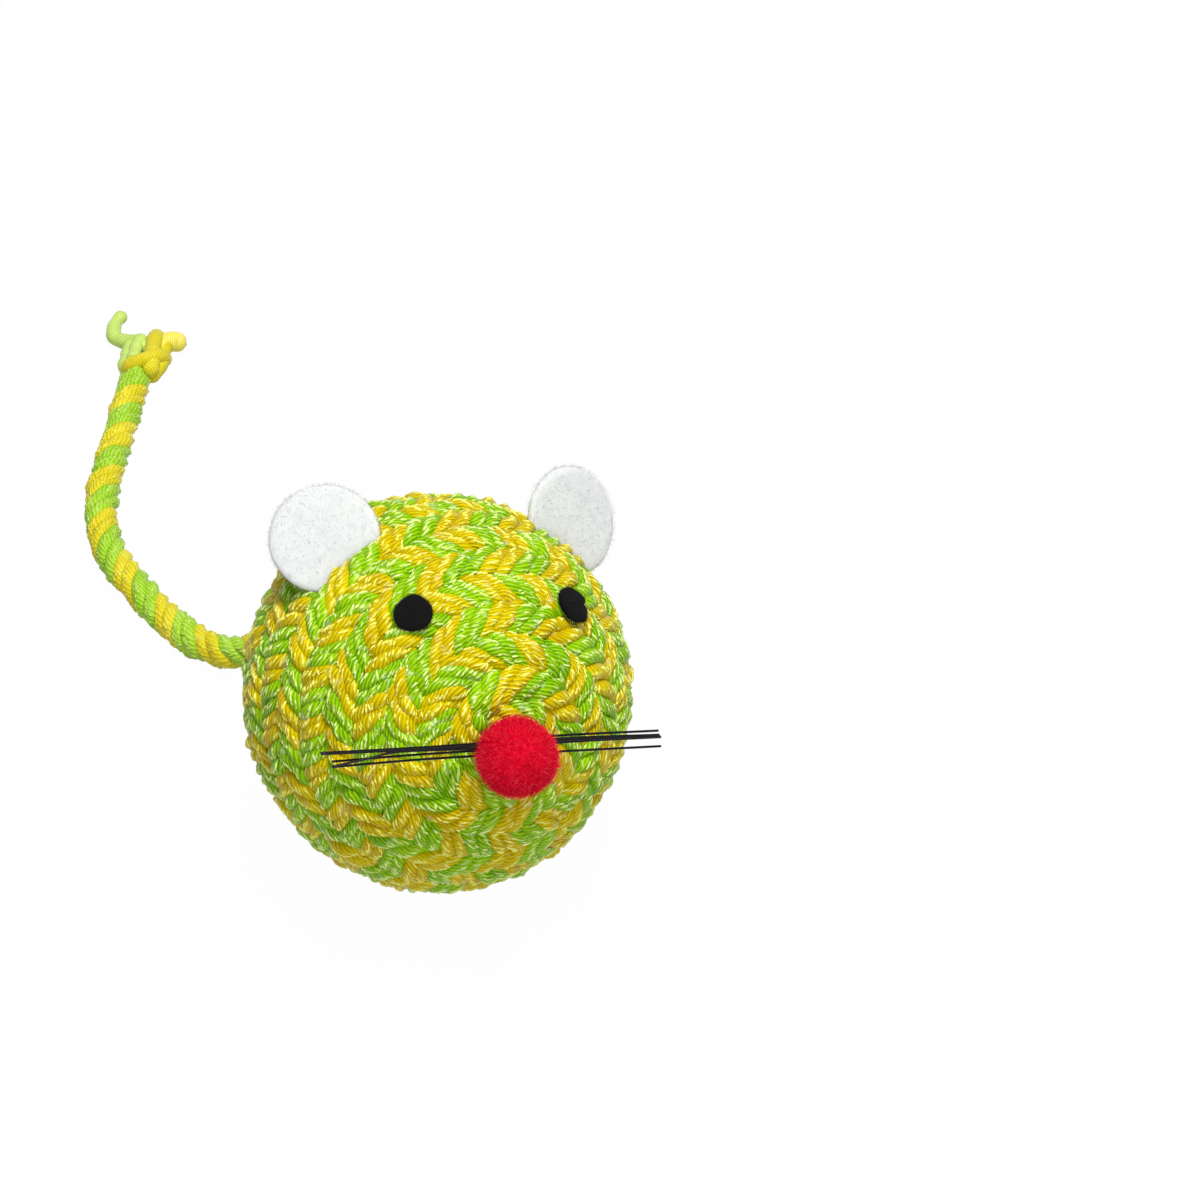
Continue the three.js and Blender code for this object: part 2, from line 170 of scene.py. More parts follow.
def smooth_step(x):
    x = np.clip(x, 0, 1)
    return x * x * (3 - 2 * x)


def carried_normals(points, first):
    """Normals carried along a path without twist."""
    normals = np.zeros_like(points)
    normal = np.asarray(first, dtype=float)
    for i, tangent in enumerate(tangents_of(points)):
        normal = normal - normal.dot(tangent) * tangent
        normal = normal / np.linalg.norm(normal)
        normals[i] = normal
    return normals


# Meshes of tubes

TIP_SHARE = 0.4
CAP_WIDTH = 0.3
FLOOR_GAP = 0.02

# Strokes: places along one, and its shares of height, width and brightness there. The brightness is
# its painted glint, a painted highlight that is brightest at the stroke's middle and crest
STROKE_SHARES = np.array([-1, -0.4, 0.4, 1])
STROKE_HEIGHTS = np.array([0.2, 1, 1, 0.2])
STROKE_WIDTHS = np.array([0.5, 1, 1, 0.5])
STROKE_GLINT_SHARES = np.array([0.4, 1, 1, 0.4])
STROKE_EDGE_GLINT_SHARES = np.array([0.8, 1.0, 0.8])
STROKE_PITCH = 0.55
STROKE_HALF_LENGTH = 0.72
STROKE_HALF_WIDTH = 0.155
STROKE_HEIGHT = 0.2
STROKE_FOOT_DEPTH = 0.02

# How much the strokes differ from each other. Each sway has its size and its period along the yarn.
STROKE_PLACE_SPREAD = 0.03
STROKES_LEFT_OUT = 0.03
STROKE_SLANT_SPREAD = 0.2
STROKE_SIDE_SPREAD = 0.26
STROKE_SIDE_SWAY = (0.12, 7)
STROKE_SIZE_RANGE = (0.6, 1.3)
# How bright each stroke's painted glint is, a painted highlight, and how that sways along the yarn
STROKE_GLINT_RANGE = (0.7, 1.2)
STROKE_GLINT_MEAN = 0.95
STROKE_GLINT_SWAY = (0.25, 4)
STROKE_GLINT_LIMITS = (0.2, 1.25)

# The flat map: the share of its height that the tubes' rows fill, their length and width in it, and
# a stroke's place in its own square
STRIP_SHARE = 0.8
ROW_LENGTH_MARGIN = 1.02
ROW_PAD, ROW_FILL = 0.04, 0.92
CELL_PAD, CELL_FILL = 0.1, 0.8


class Tubes:
    """Collects closed tubes and raised strokes of filament across them, and makes one mesh of them. One
    map gives length and turn to the yarn's nodes, one is flat, for textures."""

    def __init__(self):
        self.verts, self.count, self.parts, self.strokes = [], 0, [], []

    def add(self, centres, normals, radii, sides, slot=0):
        """A tube whose map starts at the side that its normals face."""
        tangents = tangents_of(centres)
        normals = square_to(normals, tangents)
        across = np.cross(tangents, normals)
        turn = np.arange(sides) / sides * TURN
        radii = np.broadcast_to(radii, (len(centres),))[:, None, None]
        around = np.cos(turn)[None, :, None] * normals[:, None, :]
        around = around + np.sin(turn)[None, :, None] * across[:, None, :]
        rings = centres[:, None, :] + radii * around
        first = centres[0] - TIP_SHARE * radii[0, 0, 0] * tangents[0]
        last = centres[-1] + TIP_SHARE * radii[-1, 0, 0] * tangents[-1]
        self.verts.append(np.vstack([rings.reshape(-1, 3), first, last]))
        width = TURN * float(np.mean(radii))
        self.parts.append((self.count, len(centres), sides, lengths_along(centres), slot, width))
        self.count += len(centres) * sides + 2

    def add_strokes(self, centres, outer, radii, handed, slant, seed, slot=0):
        """Short raised strokes that cross a yarn's outer side at a slant."""
        random = np.random.default_rng(seed)
        at = lengths_along(centres)
        before = sum(part[3][-1] + 2 * CAP_WIDTH for part in self.parts[:-1])
        place = np.arange(2 * STROKE_PITCH - before % STROKE_PITCH, at[-1] - STROKE_PITCH, STROKE_PITCH)
        place = place + random.normal(scale=STROKE_PLACE_SPREAD, size=len(place))
        place = place[random.uniform(size=len(place)) > STROKES_LEFT_OUT]
        count = len(place)
        slant = slant + random.normal(scale=STROKE_SLANT_SPREAD, size=count)
        half = STROKE_HALF_LENGTH * random.uniform(*STROKE_SIZE_RANGE, count)
        middle = random.normal(scale=STROKE_SIDE_SPREAD, size=count)
        middle = middle + uneven(place, STROKE_SIDE_SWAY, seed)
        wide = STROKE_HALF_WIDTH * random.uniform(*STROKE_SIZE_RANGE, count)
        high = STROKE_HEIGHT * random.uniform(*STROKE_SIZE_RANGE, count)
        share = STROKE_SHARES[None, :]
        where = place[:, None] + share * (half * np.cos(slant))[:, None]
        centre = points_at(where, at, centres)
        tangent = unit(points_at(where, at, tangents_of(centres)))
        lean = square_to(points_at(where, at, outer), tangent)
        side = np.cross(tangent, lean)
        radius = np.interp(where, at, radii)
        angle = middle[:, None] + handed * share * (half * np.sin(slant))[:, None] / radius
        away = np.cos(angle)[..., None] * lean + np.sin(angle)[..., None] * side
        round_yarn = np.cross(tangent, away)
        square = np.sin(slant)[:, None, None] * tangent - handed * np.cos(slant)[:, None, None] * round_yarn
        crest = centre + (radius + high[:, None] * STROKE_HEIGHTS)[..., None] * away
        foot = centre + (radius - STROKE_FOOT_DEPTH)[..., None] * away
        reach = (wide[:, None] * STROKE_WIDTHS)[..., None] * square
        corners = np.stack([foot - reach, crest, foot + reach], axis=2)
        # Painted highlight: each stroke's glint brightness, random and swaying along the yarn, brightest at
        # its crest
        sway = STROKE_GLINT_MEAN + uneven(place, STROKE_GLINT_SWAY, seed + 60)
        bright = np.clip(random.uniform(*STROKE_GLINT_RANGE, count) * sway, *STROKE_GLINT_LIMITS)
        bright = bright[:, None, None] * STROKE_GLINT_SHARES[:, None]
        self.strokes.append((corners, bright * STROKE_EDGE_GLINT_SHARES, where, slot))

    def tube_faces(self):
        """Each tube's faces, with their slot and their places in both maps."""
        total = sum(part[3][-1] for part in self.parts)
        width = np.mean([part[5] for part in self.parts])
        rows = max(1, ceil(sqrt(total / width)))
        row_length = total / rows
        filled = STRIP_SHARE if self.strokes else 1.0
        offset = 0
        for base, rings, sides, at, slot, _ in self.parts:
            i, k = np.divmod(np.arange((rings - 1) * sides), sides)
            low, after = base + i * sides, (k + 1) % sides
            quads = columns(low + k, low + after, low + sides + after, low + sides + k)
            u = at[columns(i, i, i + 1, i + 1)]
            v = columns(k, k + 1, k + 1, k) / sides
            k = np.arange(sides)
            after = (k + 1) % sides
            end = base + (rings - 1) * sides
            tip = np.full(sides, end + sides)
            caps = np.vstack([
                columns(base + after, base + k, tip),
                columns(end + k, end + after, tip + 1),
            ])
            ends = [(0, 0, -CAP_WIDTH), (at[-1], at[-1], at[-1] + CAP_WIDTH)]
            cap_u = np.repeat(ends, sides, axis=0)
            cap_v = np.vstack([columns(k + 1, k, k + 0.5), columns(k, k + 1, k + 0.5)]) / sides
            for faces, us, vs in ((quads, u, v), (caps, cap_u, cap_v)):
                place = us + offset + CAP_WIDTH
                row = np.clip(np.floor(place.min(axis=1) / row_length), 0, rows)[:, None]
                strip_u = (place - row * row_length) / (row_length * ROW_LENGTH_MARGIN)
                strip_v = (row + ROW_PAD + ROW_FILL * vs) / (rows + 1) * filled
                yield faces, slot, np.stack([us + offset, vs], axis=2), np.stack([strip_u, strip_v], axis=2)
            offset += at[-1] + 2 * CAP_WIDTH

    def stroke_faces(self, first_vert):
        """Each row of strokes' faces, with their slot and their places in both maps."""
        every = sum(len(stroke[0]) for stroke in self.strokes)
        per_line = max(1, ceil(sqrt(every / (1 - STRIP_SHARE))))
        lines = max(1, ceil(every / per_line))
        done = 0
        for _, _, where, slot in self.strokes:
            count, cuts = where.shape
            first = first_vert + 3 * np.arange(count * cuts).reshape(count, cuts)
            i, j, side = np.indices((count, cuts - 1, 2)).reshape(3, -1)
            here, ahead = first[i, j] + side, first[i, j + 1] + side
            quads = columns(here, here + 1, ahead + 1, ahead)
            u = where[i[:, None], columns(j, j, j + 1, j + 1)]
            cell = (done + i)[:, None]
            cell_u = columns(j, j, j + 1, j + 1) / (cuts - 1) * CELL_FILL + CELL_PAD
            cell_v = columns(side, side + 1, side + 1, side) / 2 * CELL_FILL + CELL_PAD
            place_u = (cell % per_line + cell_u) / per_line
            place_v = STRIP_SHARE + (1 - STRIP_SHARE) * (cell // per_line + cell_v) / lines
            yarn_places = np.stack([u, np.full(u.shape, 0.5)], axis=2)
            yield quads, slot, yarn_places, np.stack([place_u, place_v], axis=2)
            first_vert += 3 * count * cuts
            done += count

    def build(self, name, *looks):
        verts = np.vstack(self.verts + [corners.reshape(-1, 3) for corners, _, _, _ in self.strokes])
        verts[:, 2] = np.maximum(verts[:, 2], FLOOR_GAP)
        # The strokes' painted glint brightness at each corner; the tubes have none
        bright = [shades.ravel() for _, shades, _, _ in self.strokes]
        faces, slots, yarn, flat = zip(*self.tube_faces(), *self.stroke_faces(self.count))
        sizes = np.concatenate([np.full(len(group), group.shape[1]) for group in faces])
        return make_mesh(
            name, verts, np.concatenate([group.ravel() for group in faces]),
            np.cumsum(sizes) - sizes, looks, shades=np.concatenate([np.zeros(self.count), *bright]),
            slots=np.repeat(slots, [len(group) for group in faces]),
            maps={
                "yarn": np.vstack([places.reshape(-1, 2) for places in yarn]),
                "OFBake": np.clip(np.vstack([places.reshape(-1, 2) for places in flat]), 0, 1),
            },
        )


def fill(data, key, values, kind):
    data.foreach_set(key, np.asarray(values, dtype=kind).ravel())


def make_mesh(name, verts, loops, starts, looks, slots=None, maps=None, shades=None):
    """A mesh whose faces start at the given loops. looks are keys of materials."""
    mesh = bpy.data.meshes.new(name)
    mesh.vertices.add(len(verts))
    fill(mesh.vertices, "co", verts * MM, np.float32)
    mesh.loops.add(len(loops))
    fill(mesh.loops, "vertex_index", loops, np.int32)
    mesh.polygons.add(len(starts))
    fill(mesh.polygons, "loop_start", starts, np.int32)
    if slots is not None:
        fill(mesh.polygons, "material_index", slots, np.int32)
    fill(mesh.polygons, "use_smooth", np.ones(len(starts)), bool)
    for map_name, places in (maps or {}).items():
        fill(mesh.uv_layers.new(name=map_name).uv, "vector", places, np.float32)
    # Each point's shade value: the strokes' painted glints, and the nose's tone with its painted shade
    if shades is not None:
        fill(mesh.attributes.new("shade", "FLOAT", "POINT").data, "value", shades, np.float32)
    mesh.update(calc_edges=True)
    mesh.validate()
    for look in looks:
        mesh.materials.append(materials[look])
    piece = bpy.data.objects.new(name, mesh)
    scene.collection.objects.link(piece)
    return piece


# Node materials

def emptied_tree(owner):
    owner.use_nodes = True
    owner.node_tree.nodes.clear()
    return owner.node_tree


def new_material(name):
    material = bpy.data.materials.new(name)
    tree = emptied_tree(material)
    shader = add_node(tree, "BsdfPrincipled")
    add_node(tree, "OutputMaterial", {"Surface": shader.outputs[0]})
    return material, tree, shader


def give(tree, node, values):
    for key, value in values.items():
        if isinstance(value, bpy.types.NodeSocket):
            tree.links.new(value, node.inputs[key])
        else:
            node.inputs[key].default_value = value


def add_node(tree, kind, values=None, **settings):
    made = tree.nodes.new("ShaderNode" + kind)
    for key, value in settings.items():
        setattr(made, key, value)
    give(tree, made, values or {})
    return made


def calc(tree, operation, *values):
    return add_node(tree, "Math", dict(enumerate(values)), operation=operation).outputs[0]


def noise(tree, vector, scale, detail=3.0, roughness=0.5):
    values = {"Vector": vector, "Scale": scale, "Detail": detail, "Roughness": roughness}
    return add_node(tree, "TexNoise", values).outputs["Fac"]


def ramp(tree, value, stops):
    stops = list(stops)
    made = add_node(tree, "ValToRGB", {"Fac": value})
    elements = made.color_ramp.elements
    while len(elements) < len(stops):
        elements.new(0.5)
    for element, (place, colour) in zip(elements, stops):
        element.position = place
        element.color = colour
    return made.outputs["Color"]


def bump(tree, height, depth, below=None):
    values = {"Height": height, "Distance": depth * MM, "Strength": 1.0}
    if below is not None:
        values["Normal"] = below
    return add_node(tree, "Bump", values).outputs["Normal"]


def mix(tree, share, first, second):
    values = {"Factor": share, 6: first, 7: second}
    return add_node(tree, "Mix", values, data_type="RGBA").outputs[2]


def srgb(r, g, b):
    """A colour as read from 0 to 255, in the renderer's linear values."""
    linear = []
    for value in (r, g, b):
        share = value / 255
        linear.append(share / 12.92 if share <= 0.04045 else ((share + 0.055) / 1.055) ** 2.4)
    return (*linear, 1.0)


def object_place(tree):
    return add_node(tree, "TexCoord").outputs["Object"]


def band(tree, value, low, high):
    """A smooth step from 0 at low to 1 at high."""
    values = {"Value": value, "From Min": low, "From Max": high}
    return add_node(tree, "MapRange", values, interpolation_type="SMOOTHSTEP").outputs["Result"]


# Yarn: bundles round it, filaments in a bundle, and the way that the filaments' noise runs
BUNDLES = 11
FILAMENTS_PER_BUNDLE = 3.4
RUN_ALONG = 0.72
RUN_AROUND = 4.6

# Weights of what makes the yarn's tone, and the tones of its three colours. The bundles' weight is
# painted light and shade: their crests lighter, the grooves between them darker.
FILAMENT_WEIGHT = 0.6
BUNDLE_LIGHT_AND_SHADE_WEIGHT = 0.3
PATCH_WEIGHT = 0.4
TONES = (0.42, 0.64, 0.86)

# The painted shade that darkens the yarn's flanks towards the grooves between yarns, the painted sheen
# in light blotches, and the relief
DRIFT = 0.5
SWAY = 0.12
FLANK_SHADE = (0.08, 0.25)
FLANK_SHADE_WEIGHT = 0.36
SHEEN_BLOTCH = (0.63, 0.72)
SHEEN_BLOTCH_FILAMENTS = (0.38, 0.6)
SHEEN_BLOTCH_WEIGHT = 0.45
YARN_RELIEF = 0.04
STROKED_RELIEF = 0.06
FILAMENT_RELIEF_SHARE = 0.4


def yarn_material(name, looks, tones, handed, strokes):
    """Lustrous yarn of twisted bundles of filaments, with strokes across its outer side painted bright as
    glints: painted highlights. handed gives the way that the bundles run round."""
    material, tree, shader = new_material(name)
    place = object_place(tree)
    yarn_map = add_node(tree, "UVMap", uv_map="yarn").outputs["UV"]
    split = add_node(tree, "SeparateXYZ", {"Vector": yarn_map})
    along, around = split.outputs["X"], split.outputs["Y"]
    drift = noise(tree, place, scale=330, detail=2.0)
    phase = calc(tree, "MULTIPLY", along, 1 / STROKE_PITCH)
    phase = calc(tree, "MULTIPLY_ADD", around, -handed * BUNDLES, phase)
    phase = calc(tree, "MULTIPLY_ADD", calc(tree, "SUBTRACT", drift, 0.5), DRIFT, phase)
    wave = calc(tree, "COSINE", calc(tree, "MULTIPLY", phase, TURN))
    bundle = calc(tree, "MULTIPLY_ADD", wave, 0.5, 0.5)
    run = calc(tree, "MULTIPLY", along, RUN_ALONG)
    run = calc(tree, "MULTIPLY_ADD", around, handed * RUN_AROUND, run)
    across = calc(tree, "MULTIPLY", phase, FILAMENTS_PER_BUNDLE)
    strand = add_node(tree, "CombineXYZ", {"X": across, "Y": run}).outputs[0]
    filament = noise(tree, strand, scale=1.0, detail=2.0, roughness=0.6)
    patch = noise(tree, place, scale=170, detail=2.0)
    # Painted light and shade: the bundles' crests lighter, the grooves between them darker
    tone = calc(tree, "MULTIPLY", bundle, BUNDLE_LIGHT_AND_SHADE_WEIGHT)
    tone = calc(tree, "MULTIPLY_ADD", filament, FILAMENT_WEIGHT, tone)
    tone = calc(tree, "MULTIPLY_ADD", patch, PATCH_WEIGHT, tone)
    tones = [srgb(*colour) for colour in tones]
    colour = ramp(tree, tone, zip(TONES, tones))
    # Painted shade: away from the outer crest, towards the grooves between yarns, the colour goes to the
    # deep tone
    sway = calc(tree, "SUBTRACT", noise(tree, place, scale=420, detail=1.0), 0.5)
    sway = calc(tree, "MULTIPLY", sway, SWAY)
    off = calc(tree, "ABSOLUTE", calc(tree, "ADD", calc(tree, "SUBTRACT", around, 0.5), sway))
    flank_shade = calc(tree, "MULTIPLY", band(tree, off, *FLANK_SHADE), FLANK_SHADE_WEIGHT)
    colour = mix(tree, flank_shade, colour, tones[0])
    # Painted sheen: light blotches along the filaments
    blotch = band(tree, noise(tree, place, scale=520, detail=1.0), *SHEEN_BLOTCH)
    blotch = calc(tree, "MULTIPLY", blotch, band(tree, filament, *SHEEN_BLOTCH_FILAMENTS))
    blotch = calc(tree, "MULTIPLY", blotch, SHEEN_BLOTCH_WEIGHT * strokes)
    colour = mix(tree, blotch, colour, srgb(*looks["painted_sheen"]))
    # Painted highlights: the strokes take the glint colour as far as their shade value says
    stroke = add_node(tree, "Attribute", attribute_name="shade").outputs["Fac"]
    colour = mix(tree, calc(tree, "MULTIPLY", stroke, strokes), colour, srgb(*looks["painted_glint"]))
    height = calc(tree, "MULTIPLY_ADD", filament, FILAMENT_RELIEF_SHARE, bundle)
    give(tree, shader, {
        "Base Color": colour, "Normal": bump(tree, height, YARN_RELIEF + STROKED_RELIEF * strokes),
        "Roughness": 0.34, "Specular IOR Level": 0.2, "Specular Tint": looks["tint"],
    })
    return material


# Felt: its noises' weights, and its tones
FELT_NOISE_WEIGHT = 0.4
FELT_BLOTCH_WEIGHT = 0.2
FELT_TONES = (0.36, 0.56)
FELT_FINE_RELIEF_SHARE = 0.45


def felt_material(name, light, dark, depth, sheen, soft=0.0):
    """Felt with relief of the given depth. soft is how far light goes in."""
    material, tree, shader = new_material(name)
    place = object_place(tree)
    coarse = noise(tree, place, scale=700, roughness=0.6)
    fine = noise(tree, place, scale=3200, roughness=0.7)
    blotch = noise(tree, place, scale=180, detail=2.0)
    tone = calc(tree, "MULTIPLY", coarse, FELT_NOISE_WEIGHT)
    tone = calc(tree, "MULTIPLY_ADD", fine, FELT_NOISE_WEIGHT, tone)
    tone = calc(tree, "MULTIPLY_ADD", blotch, FELT_BLOTCH_WEIGHT, tone)
    lower = bump(tree, coarse, depth)
    give(tree, shader, {
        "Base Color": ramp(tree, tone, zip(FELT_TONES, (srgb(*dark), srgb(*light)))),
        "Normal": bump(tree, fine, depth * FELT_FINE_RELIEF_SHARE, lower),
        "Roughness": 0.95, "Specular IOR Level": 0.2, "Sheen Weight": sheen, "Sheen Roughness": 0.5,
    })
    if soft:
        give(tree, shader, {
            "Subsurface Weight": 0.8, "Subsurface Radius": (1, 1, 1), "Subsurface Scale": soft * MM,
        })
    return material


# Pompom, foam and whiskers: colours with their tones, weights and depths of relief
POMPOM_COLOURS = [(0.2, srgb(212, 0, 42)), (0.55, srgb(244, 4, 54)), (0.9, srgb(255, 90, 112))]
POMPOM_SHADE_WEIGHT = 0.6
POMPOM_CLUMP_WEIGHT = 0.5
POMPOM_RELIEF = 0.15
FOAM_COLOURS = [(0.0, srgb(214, 210, 196)), (0.5, srgb(240, 238, 228))]
FOAM_CELL_DEPTH = 0.2
WHISKER_COLOURS = [(0.3, srgb(6, 6, 9)), (0.7, srgb(18, 18, 22))]
WHISKER_LEAST_ROUGHNESS = 0.28
WHISKER_ROUGHNESS_RANGE = 0.2


def pompom_material(name):
    material, tree, shader = new_material(name)
    place = object_place(tree)
    # Each point's tone, with painted shade at the fibres' roots and on the heart
    shade = add_node(tree, "Attribute", attribute_name="shade").outputs["Fac"]
    clump = noise(tree, place, scale=900, roughness=0.6)
    tone = calc(tree, "MULTIPLY", clump, POMPOM_CLUMP_WEIGHT)
    tone = calc(tree, "MULTIPLY_ADD", shade, POMPOM_SHADE_WEIGHT, tone)
    give(tree, shader, {
        "Base Color": ramp(tree, tone, POMPOM_COLOURS), "Normal": bump(tree, clump, POMPOM_RELIEF),
        "Roughness": 0.8, "Specular IOR Level": 0.1,
    })
    return material


def foam_material(name):
    material, tree, shader = new_material(name)
    values = {"Vector": object_place(tree), "Scale": 420}
    cells = add_node(tree, "TexVoronoi", values).outputs["Distance"]
    give(tree, shader, {
        "Base Color": ramp(tree, cells, FOAM_COLOURS), "Normal": bump(tree, cells, -FOAM_CELL_DEPTH),
        "Roughness": 0.9,
    })
    return material


def whisker_material(name):
    material, tree, shader = new_material(name)
    smear = noise(tree, object_place(tree), scale=260, detail=2.0)
    rough = calc(tree, "MULTIPLY_ADD", smear, WHISKER_ROUGHNESS_RANGE, WHISKER_LEAST_ROUGHNESS)
    give(tree, shader, {
        "Base Color": ramp(tree, smear, WHISKER_COLOURS), "Roughness": rough, "Specular IOR Level": 0.3,
    })
    return material


# Colours of the yarns, and their deep, middle and light tones on the ball, on the tail and at its ends.
# The tail's and the ends' tones are lighter copies of the ball's: painted light, where they lie in
# fuller light.
YARN_LOOKS = {
    "yellow": {
        "painted_glint": (255, 255, 128), "painted_sheen": (244, 228, 190), "tint": (1.0, 0.95, 0.3, 1.0),
        "ball": ((176, 140, 0), (206, 186, 0), (228, 210, 0)),
        "tail": ((208, 190, 14), (226, 212, 36), (240, 228, 72)),
        "loose": ((236, 218, 60), (248, 236, 100), (254, 246, 146)),
    },
    "green": {
        "painted_glint": (238, 255, 158), "painted_sheen": (224, 240, 208), "tint": (0.95, 1.0, 0.5, 1.0),
        "ball": ((74, 144, 0), (140, 194, 2), (176, 218, 14)),
        "tail": ((130, 190, 20), (164, 212, 46), (192, 226, 84)),
        "loose": ((174, 212, 84), (204, 232, 112), (222, 244, 146)),
    },
}

# Kinds of yarn: whose tones each has, the way that its bundles run, and the share of its strokes: of
# their painted glints, of the painted sheen blotches and of the relief
YARN_KINDS = {
    "s": ("ball", 1, 1.0), "z": ("ball", -1, 1.0), "tail": ("tail", -1, 0.35), "loose": ("loose", -1, 0.0),
}
materials = {
    "white_felt": felt_material(
        "felt_white", light=(223, 225, 224), dark=(213, 216, 216), depth=0.08, sheen=0.05, soft=2.0,
    ),
    "black_felt": felt_material(
        "felt_black", light=(12, 11, 12), dark=(4, 4, 5), depth=0.2, sheen=0.02,
    ),
    "pompom": pompom_material("pompom_red"),
    "foam": foam_material("foam_core"),
    "whisker": whisker_material("whisker_black"),
}
for hue, looks in YARN_LOOKS.items():
    for kind, (tones, handed, strokes) in YARN_KINDS.items():
        made = yarn_material(f"yarn_{hue}_{kind}", looks, looks[tones], handed, strokes)
        materials[f"{hue}_{kind}"] = made


# Camera

def add_aimed(name, data, place, target):
    made = bpy.data.objects.new(name, data)
    made.location = to_metres(place)
    made.rotation_euler = (Vector(target) - Vector(place)).to_track_quat("-Z", "Y").to_euler()
    scene.collection.objects.link(made)
    return made


camera = bpy.data.cameras.new("camera")
camera.lens = 156
camera.sensor_width = 36
camera.clip_start = 0.01
camera.clip_end = 20
scene.camera = add_aimed("camera", camera, CAMERA_AT, CAMERA_TARGET)


# Rope of four yarns, two yellow and two green, laid round its centre line

# Unevenness of a rope: each with its size and its period along the rope
LAY_WOBBLE = (0.03, 12)
HELIX_WOBBLE = (0.09, 9)
THICKNESS_WOBBLE = (0.09, 5)
OUTWARD_WOBBLE = (0.18, 3.5)
ALONG_WOBBLE = (0.14, 5)


def lay_rope(targets, path, outward, turns, rope, seed, spread=1.0, press=0.0, rough=1.0):
    """Adds a rope's yarns along a path. targets has tubes and a slot for each colour, spread widens the
    rope, press draws out its lay on the outward side, and rough is the share of the yarns' jolts."""
    handed, helix, radius = rope["handed"], rope["helix"], rope["radius"]
    tangents = tangents_of(path)
    outward = square_to(outward, tangents)
    across = np.cross(tangents, outward)
    at = lengths_along(path)
    turns = turns + uneven(at, LAY_WOBBLE, seed + 50)
    for yarn in range(4):
        tubes, slot = targets[yarn // 2]
        angle = TURN * (handed * turns + (yarn - 0.5) / 4)
        angle = angle - press * np.sin(angle)
        own = helix * (1 + uneven(at, HELIX_WOBBLE, seed + yarn))
        thick = radius * (1 + uneven(at, THICKNESS_WOBBLE, seed + 10 + yarn))
        jolt = uneven(at, OUTWARD_WOBBLE, seed + 20 + yarn)[:, None] * outward
        jolt = jolt + uneven(at, ALONG_WOBBLE, seed + 30 + yarn)[:, None] * tangents
        forward = np.cos(angle)[:, None] * outward
        sideward = np.sin(angle)[:, None] * across
        centres = path + own[:, None] * (forward + spread * sideward) + rough * jolt
        lean = forward + sideward
        tubes.add(centres, -lean, thick, rope["sides"], slot=slot)
        tubes.add_strokes(centres, lean, thick, -handed, rope["slant"], seed + 40 + yarn, slot=slot)


def lay_phase(at, lay, marks, values):
    """Turns of lay along a rope, natural ones corrected so that they take the given values at marks."""
    natural = at / lay
    wanted = np.asarray(values) - np.interp(marks, at, natural)
    return natural + np.interp(at, marks, wanted)


# Tail: a free rope, from inside the ball to its knot on the floor. Its stripes are the places along it
# where the yellow pair faces up, and its face turns say how far it is turned there, at both ends.

TAIL_ROPE = {"handed": 1, "helix": 1.2, "radius": 1.46, "slant": radians(44), "sides": 14}
TAIL_ROUGH = 0.5
TAIL_STEP = 0.3
TAIL_SEED = 300
TAIL_LAY = 10.8
TAIL_STRIPES = (39.3, 48.8, 61.1, 73.4, 84.2, 95.0, 104.9)
TAIL_FACE_TURNS = (-0.21, -0.06)
TAIL_INSIDE = (26.5, 32.0)
TAIL_BEND = (31, 44)


def add_tail():
    first = [to_row((0, distance, 0)) for distance in (*TAIL_INSIDE, PIVOT_DISTANCE)]
    path = spline(first + [np.array(point) for point in TAIL_ROUTE], TAIL_STEP)
    at = lengths_along(path)
    outward = carried_normals(path, TOY_TURN[:, 2])
    stripes = np.arange(len(TAIL_STRIPES)) + np.linspace(*TAIL_FACE_TURNS, len(TAIL_STRIPES))
    turns = lay_phase(at, TAIL_LAY, TAIL_STRIPES, stripes)
    tubes = Tubes()
    lay_rope([(tubes, 0), (tubes, 1)], path, outward, turns, TAIL_ROPE, TAIL_SEED, rough=TAIL_ROUGH)
    tail = tubes.build("tail_rope", "yellow_tail", "green_tail")
    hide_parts("tail")
    return tail, path


tail_piece, tail_path = add_tail()


# The tail's loose ends and the knot

YARN_STEP = 0.2
YARN_END_SIDES = 16
YARN_END_SWELL = (0.06, 4)
YARN_PLACES = (0, 0.4, 1)
BLUNTNESS = 0.15
GREEN_END_ROUTE = [
    (-2.2, 118.6, 3.2), (-2.5, 121.6, 2.6), (-4.0, 123.8, 2.0), (-5.1, 126.2, 1.5), (-4.3, 128.8, 1.3),
    (-2.8, 130.6, 1.2), (-1.3, 131.4, 1.2),
]
YELLOW_END_ROUTE = [(-1.4, 117.8, 3.4), (1.2, 119.5, 3.0), (3.4, 119.9, 2.4), (4.9, 118.9, 2.0)]


def add_blunt_yarn(tubes, route, radii, swell, seed, sides, slot=0):
    """A yarn with round ends. Its radii are those at its start, at a place near it and at its end."""
    path = spline(route, YARN_STEP)
    at = lengths_along(path)
    near = np.minimum(at, at[-1] - at) / radii[-1] + BLUNTNESS
    thick = np.interp(at / at[-1], YARN_PLACES, radii) * (1 + uneven(at, swell, seed))
    thick = thick * np.sqrt(1 - (1 - np.clip(near, 0, 1)) ** 2)
    tubes.add(path, carried_normals(path, (0, 0, -1)), thick, sides, slot=slot)


def add_yarn_end(colour, route, radii, seed):
    tubes = Tubes()
    add_blunt_yarn(tubes, route, radii, YARN_END_SWELL, seed, YARN_END_SIDES)
    piece = tubes.build(f"tail_{colour}_end", f"{colour}_loose")
    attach(piece, "tail")
    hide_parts(f"tail_yarn_end_{colour}")
    return piece


green_end = add_yarn_end("green", GREEN_END_ROUTE, (1.8, 1.4, 1.1), 401)
yellow_end = add_yarn_end("yellow", YELLOW_END_ROUTE, (1.5, 1.8, 1.8), 402)

KNOT_SIDES = 14
KNOT_SWELL = (0.08, 4)
KNOT_SEED = 430

